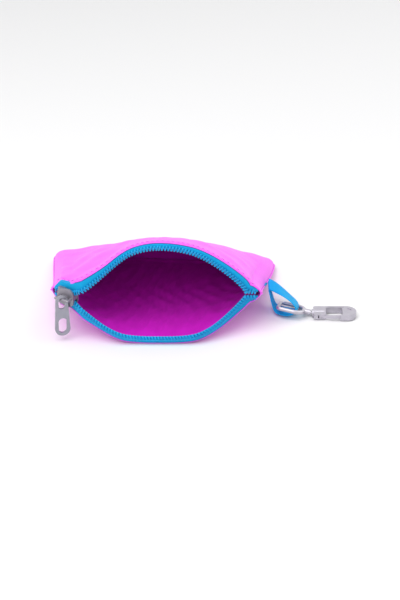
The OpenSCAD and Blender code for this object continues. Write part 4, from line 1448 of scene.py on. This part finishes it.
@dataclass(frozen=True)
class Strap:
    """Grosgrain ribbon folded round the swivel eye, and the bar tack at its root."""

    shape: PouchShape
    finishes: Finishes
    width: float = 10.0
    thick: float = 0.9
    root_t: float = 0.575
    root_r: float = 1.05
    root_gap: float = 0.3
    seam_out: float = 1.0
    rib_pitch: float = 0.8
    rib_h: float = 0.07
    tack_size: tuple[float, float, float] = (1.9, 0.42, 0.14)
    rings: int = 330
    across: int = 14

    @property
    def root(self) -> Array:
        """Middle of the ribbon's two ends, beside the right seam."""
        u = 1 + self.seam_out / self.shape.half_mouth
        at = self.shape.seam(np.array(u), np.array(self.root_t))
        return at + np.array([self.root_gap + self.root_r, 0.0, 0.0])

    def route(self) -> tuple[Array, Array]:
        """Centre line of the ribbon and its turn, smoothed through the stations.

        Between two stations the line is the cubic that leaves each of them along the line that joins
        its two neighbours.

        Returns:
            The points, and the share of the turn from the seam's direction to the eye's.
        """
        ply = self.root_r - self.thick / 2
        stations = np.array(
            [
                [0, 0, ply, 0], [2.6, -2.4, ply - 0.1, 0.1], [6.5, -5.8, -0.6, 0.5], [10.8, -9, -2.9, 0.9],
                [13.1, -10.1, -5, 1], [13.9, -10.9, -7.4, 1], [12.6, -11.1, -8.9, 0.8],
                [9.5, -10.5, -9.45, 0.5], [6.4, -9.2, -9.6, 0.45], [3.2, -7.3, -8.8, 0.4],
                [1.6, -4.4, -5.6, 0.3], [0.6, -1.6, -2.3, 0.1], [0, 0, -ply, 0],
            ]
        )
        last = len(stations) - 1
        s = np.linspace(0, last, self.rings)
        i = np.minimum(s.astype(int), last - 1)
        f = (s - i)[:, None]
        p0, p1 = stations[np.maximum(i - 1, 0), :3], stations[i, :3]
        p2, p3 = stations[i + 1, :3], stations[np.minimum(i + 2, last), :3]
        curve = 0.5 * (
            2 * p1 + (p2 - p0) * f + (2 * p0 - 5 * p1 + 4 * p2 - p3) * f**2 + (3 * p1 - p0 - 3 * p2 + p3) * f**3
        )
        turn = lerp(stations[i, 3], stations[i + 1, 3], s - i)
        return self.root + curve, turn

    def ribbon(self) -> bpy.types.Object:
        """The ribbon: a flat strip along the route, ribbed across, with thinner woven edges."""
        path, turn = self.route()
        share = ease(turn)[:, None]
        side = unit(lerp(np.array([0, 1, 0.1]), np.array([0.18, 0.94, -0.28]), share))
        along = unit(np.gradient(path, axis=0))
        up = unit(np.cross(along, side))
        run = run_length(path)
        w = np.linspace(-1, 1, self.across)
        edge = np.sqrt(1 - (1 - clip((1 - np.abs(w)) * self.width / 2 / 0.45)) ** 2)
        rib = self.rib_h * np.abs(np.sin(np.pi * run / self.rib_pitch))
        half = (self.thick / 2 - self.rib_h + rib[:, None]) * (0.45 + 0.55 * edge[None, :])
        mid = path[:, None] - side[:, None] * (w * self.width / 2)[None, :, None]
        low, high = mid - up[:, None] * half[..., None], mid + up[:, None] * half[..., None]
        points, faces = shell(low, high)
        uv = stack(run[:, None] / 10, w[None, :] * self.width / 20).reshape(-1, 2)
        piece = soften(make_piece("strap_ribbon", points, faces, np.concatenate([uv] * 2)), 60)
        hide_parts("strap_loop")
        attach(piece, "strap")
        return dress(piece, self.finishes.ribbon)

    def tack(self) -> bpy.types.Object:
        """Bar tack: close rows of thread over the seam where the ribbon goes in."""
        t = self.root_t + (np.arange(9) - 4) * 0.85 / self.shape.depth
        u = np.full_like(t, 1 + 0.4 / self.shape.half_mouth)
        place = self.shape.seam(u, t) + np.array([0.0, 0.0, 0.5])
        along, _, up = (np.broadcast_to(axis, (len(t), 3)) for axis in np.eye(3))
        piece = thread_row("strap_tack", self.tack_size, along, up, place)
        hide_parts("bar_tack")
        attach(piece, "pouch")
        return dress(piece, self.finishes.blue_thread)

    def build(self) -> None:
        """Make the ribbon and its tack."""
        self.ribbon()
        self.tack()


@dataclass(frozen=True)
class Hardware:
    """Slider, puller, eye, hook and gate, which keep their solids."""

    finishes: Finishes

    def build(self) -> None:
        """Give each solid its metal."""
        dress_node("slider_body", self.finishes.slider)
        dress_node("slider_bail", self.finishes.slider)
        dress_node("slider_pull", self.finishes.puller)
        for name in ("swivel_eye", "hook_body", "hook_gate"):
            dress_node(name, self.finishes.hook)
        for name in ("gate_pin", "gate_spring"):
            dress_node(name, self.finishes.wire)


# ---------------------------------------------------------------- studio


@dataclass(frozen=True)
class Studio:
    """Pale floor, soft light and the camera, in metres."""

    aim: tuple[float, float, float] = (0.019, 0.0, 0.0)
    elevation: float = 29.0
    distance: float = 0.85
    lens: float = 149.94
    floor_half: float = 3.0
    floor_drop: float = 0.00005

    def floor(self) -> None:
        """A plain floor that shows as the pale background and keeps the shadow."""
        h = self.floor_half / MM
        corners = np.array([[-h, -h, 0], [h, -h, 0], [h, h, 0], [-h, h, 0]], float)
        corners[:, 2] = -self.floor_drop / MM
        piece = make_piece("floor", corners, np.array([[0, 1, 2, 3]]), smooth=False)
        pale = {"Base Color": (0.86, 0.86, 0.865, 1.0), "Roughness": 0.7, "Specular IOR Level": 0.2}
        piece.data.materials.append(MaterialTree("pale_floor").close(pale))

    def world(self) -> None:
        """Even pale light from all round, white where the camera or a reflection sees it."""
        world = bpy.data.worlds.new("studio")
        bpy.context.scene.world = world
        world.use_nodes = True
        tree = Tree(world.node_tree)
        path = tree.node("ShaderNodeLightPath")
        seen = tree.math("MAXIMUM", path.outputs["Is Camera Ray"], path.outputs["Is Glossy Ray"])
        seen = tree.math("MAXIMUM", seen, path.outputs["Is Transmission Ray"])
        strength = tree.math("ADD", 0.62, tree.math("MULTIPLY", seen, 0.38))
        back = tree.node("ShaderNodeBackground", {"Color": (1.0, 1.0, 1.0, 1.0), "Strength": strength})
        tree.node("ShaderNodeOutputWorld", {"Surface": back.outputs[0]})

    def lamp(self, name: str, place: tuple[float, float, float], size: float, power: float) -> None:
        """A square soft lamp that faces the middle of the pouch."""
        data = bpy.data.lights.new(name, "AREA")
        data.size = size
        data.energy = power
        lamp = bpy.data.objects.new(name, data)
        lamp.location = place
        lamp.rotation_euler = (-Vector(place)).to_track_quat("-Z", "Y").to_euler()
        bpy.context.scene.collection.objects.link(lamp)

    def camera(self) -> None:
        """The camera at the photograph's angle, level, aimed a little right of the pouch's middle."""
        data = bpy.data.cameras.new("camera")
        data.sensor_fit = "HORIZONTAL"
        data.sensor_width = 36
        data.lens = self.lens
        data.clip_end = 20
        tilt = math.radians(self.elevation)
        camera = bpy.data.objects.new("camera", data)
        back = Vector((0, -math.cos(tilt), math.sin(tilt))) * self.distance
        camera.location = Vector(self.aim) + back
        camera.rotation_euler = (math.radians(90) - tilt, 0, 0)
        bpy.context.scene.collection.objects.link(camera)
        bpy.context.scene.camera = camera

    def build(self) -> None:
        """Set up floor, light and camera."""
        bpy.context.scene.view_settings.view_transform = "Standard"
        self.floor()
        self.world()
        self.lamp("key", (-0.25, -0.35, 0.75), 0.7, 5.5)
        self.lamp("fill", (0.6, 0.2, 0.6), 0.9, 2.0)
        self.camera()


def main() -> None:
    """Build the studio and every sub-assembly."""
    logging.basicConfig(level=logging.INFO, format="%(name)s: %(message)s")
    shape, finishes = PouchShape(), Finishes()
    Studio().build()
    ClothBody(shape, finishes).build()
    Zip(shape, finishes).build()
    Strap(shape, finishes).build()
    Hardware(finishes).build()


if __name__ == "__main__":
    main()
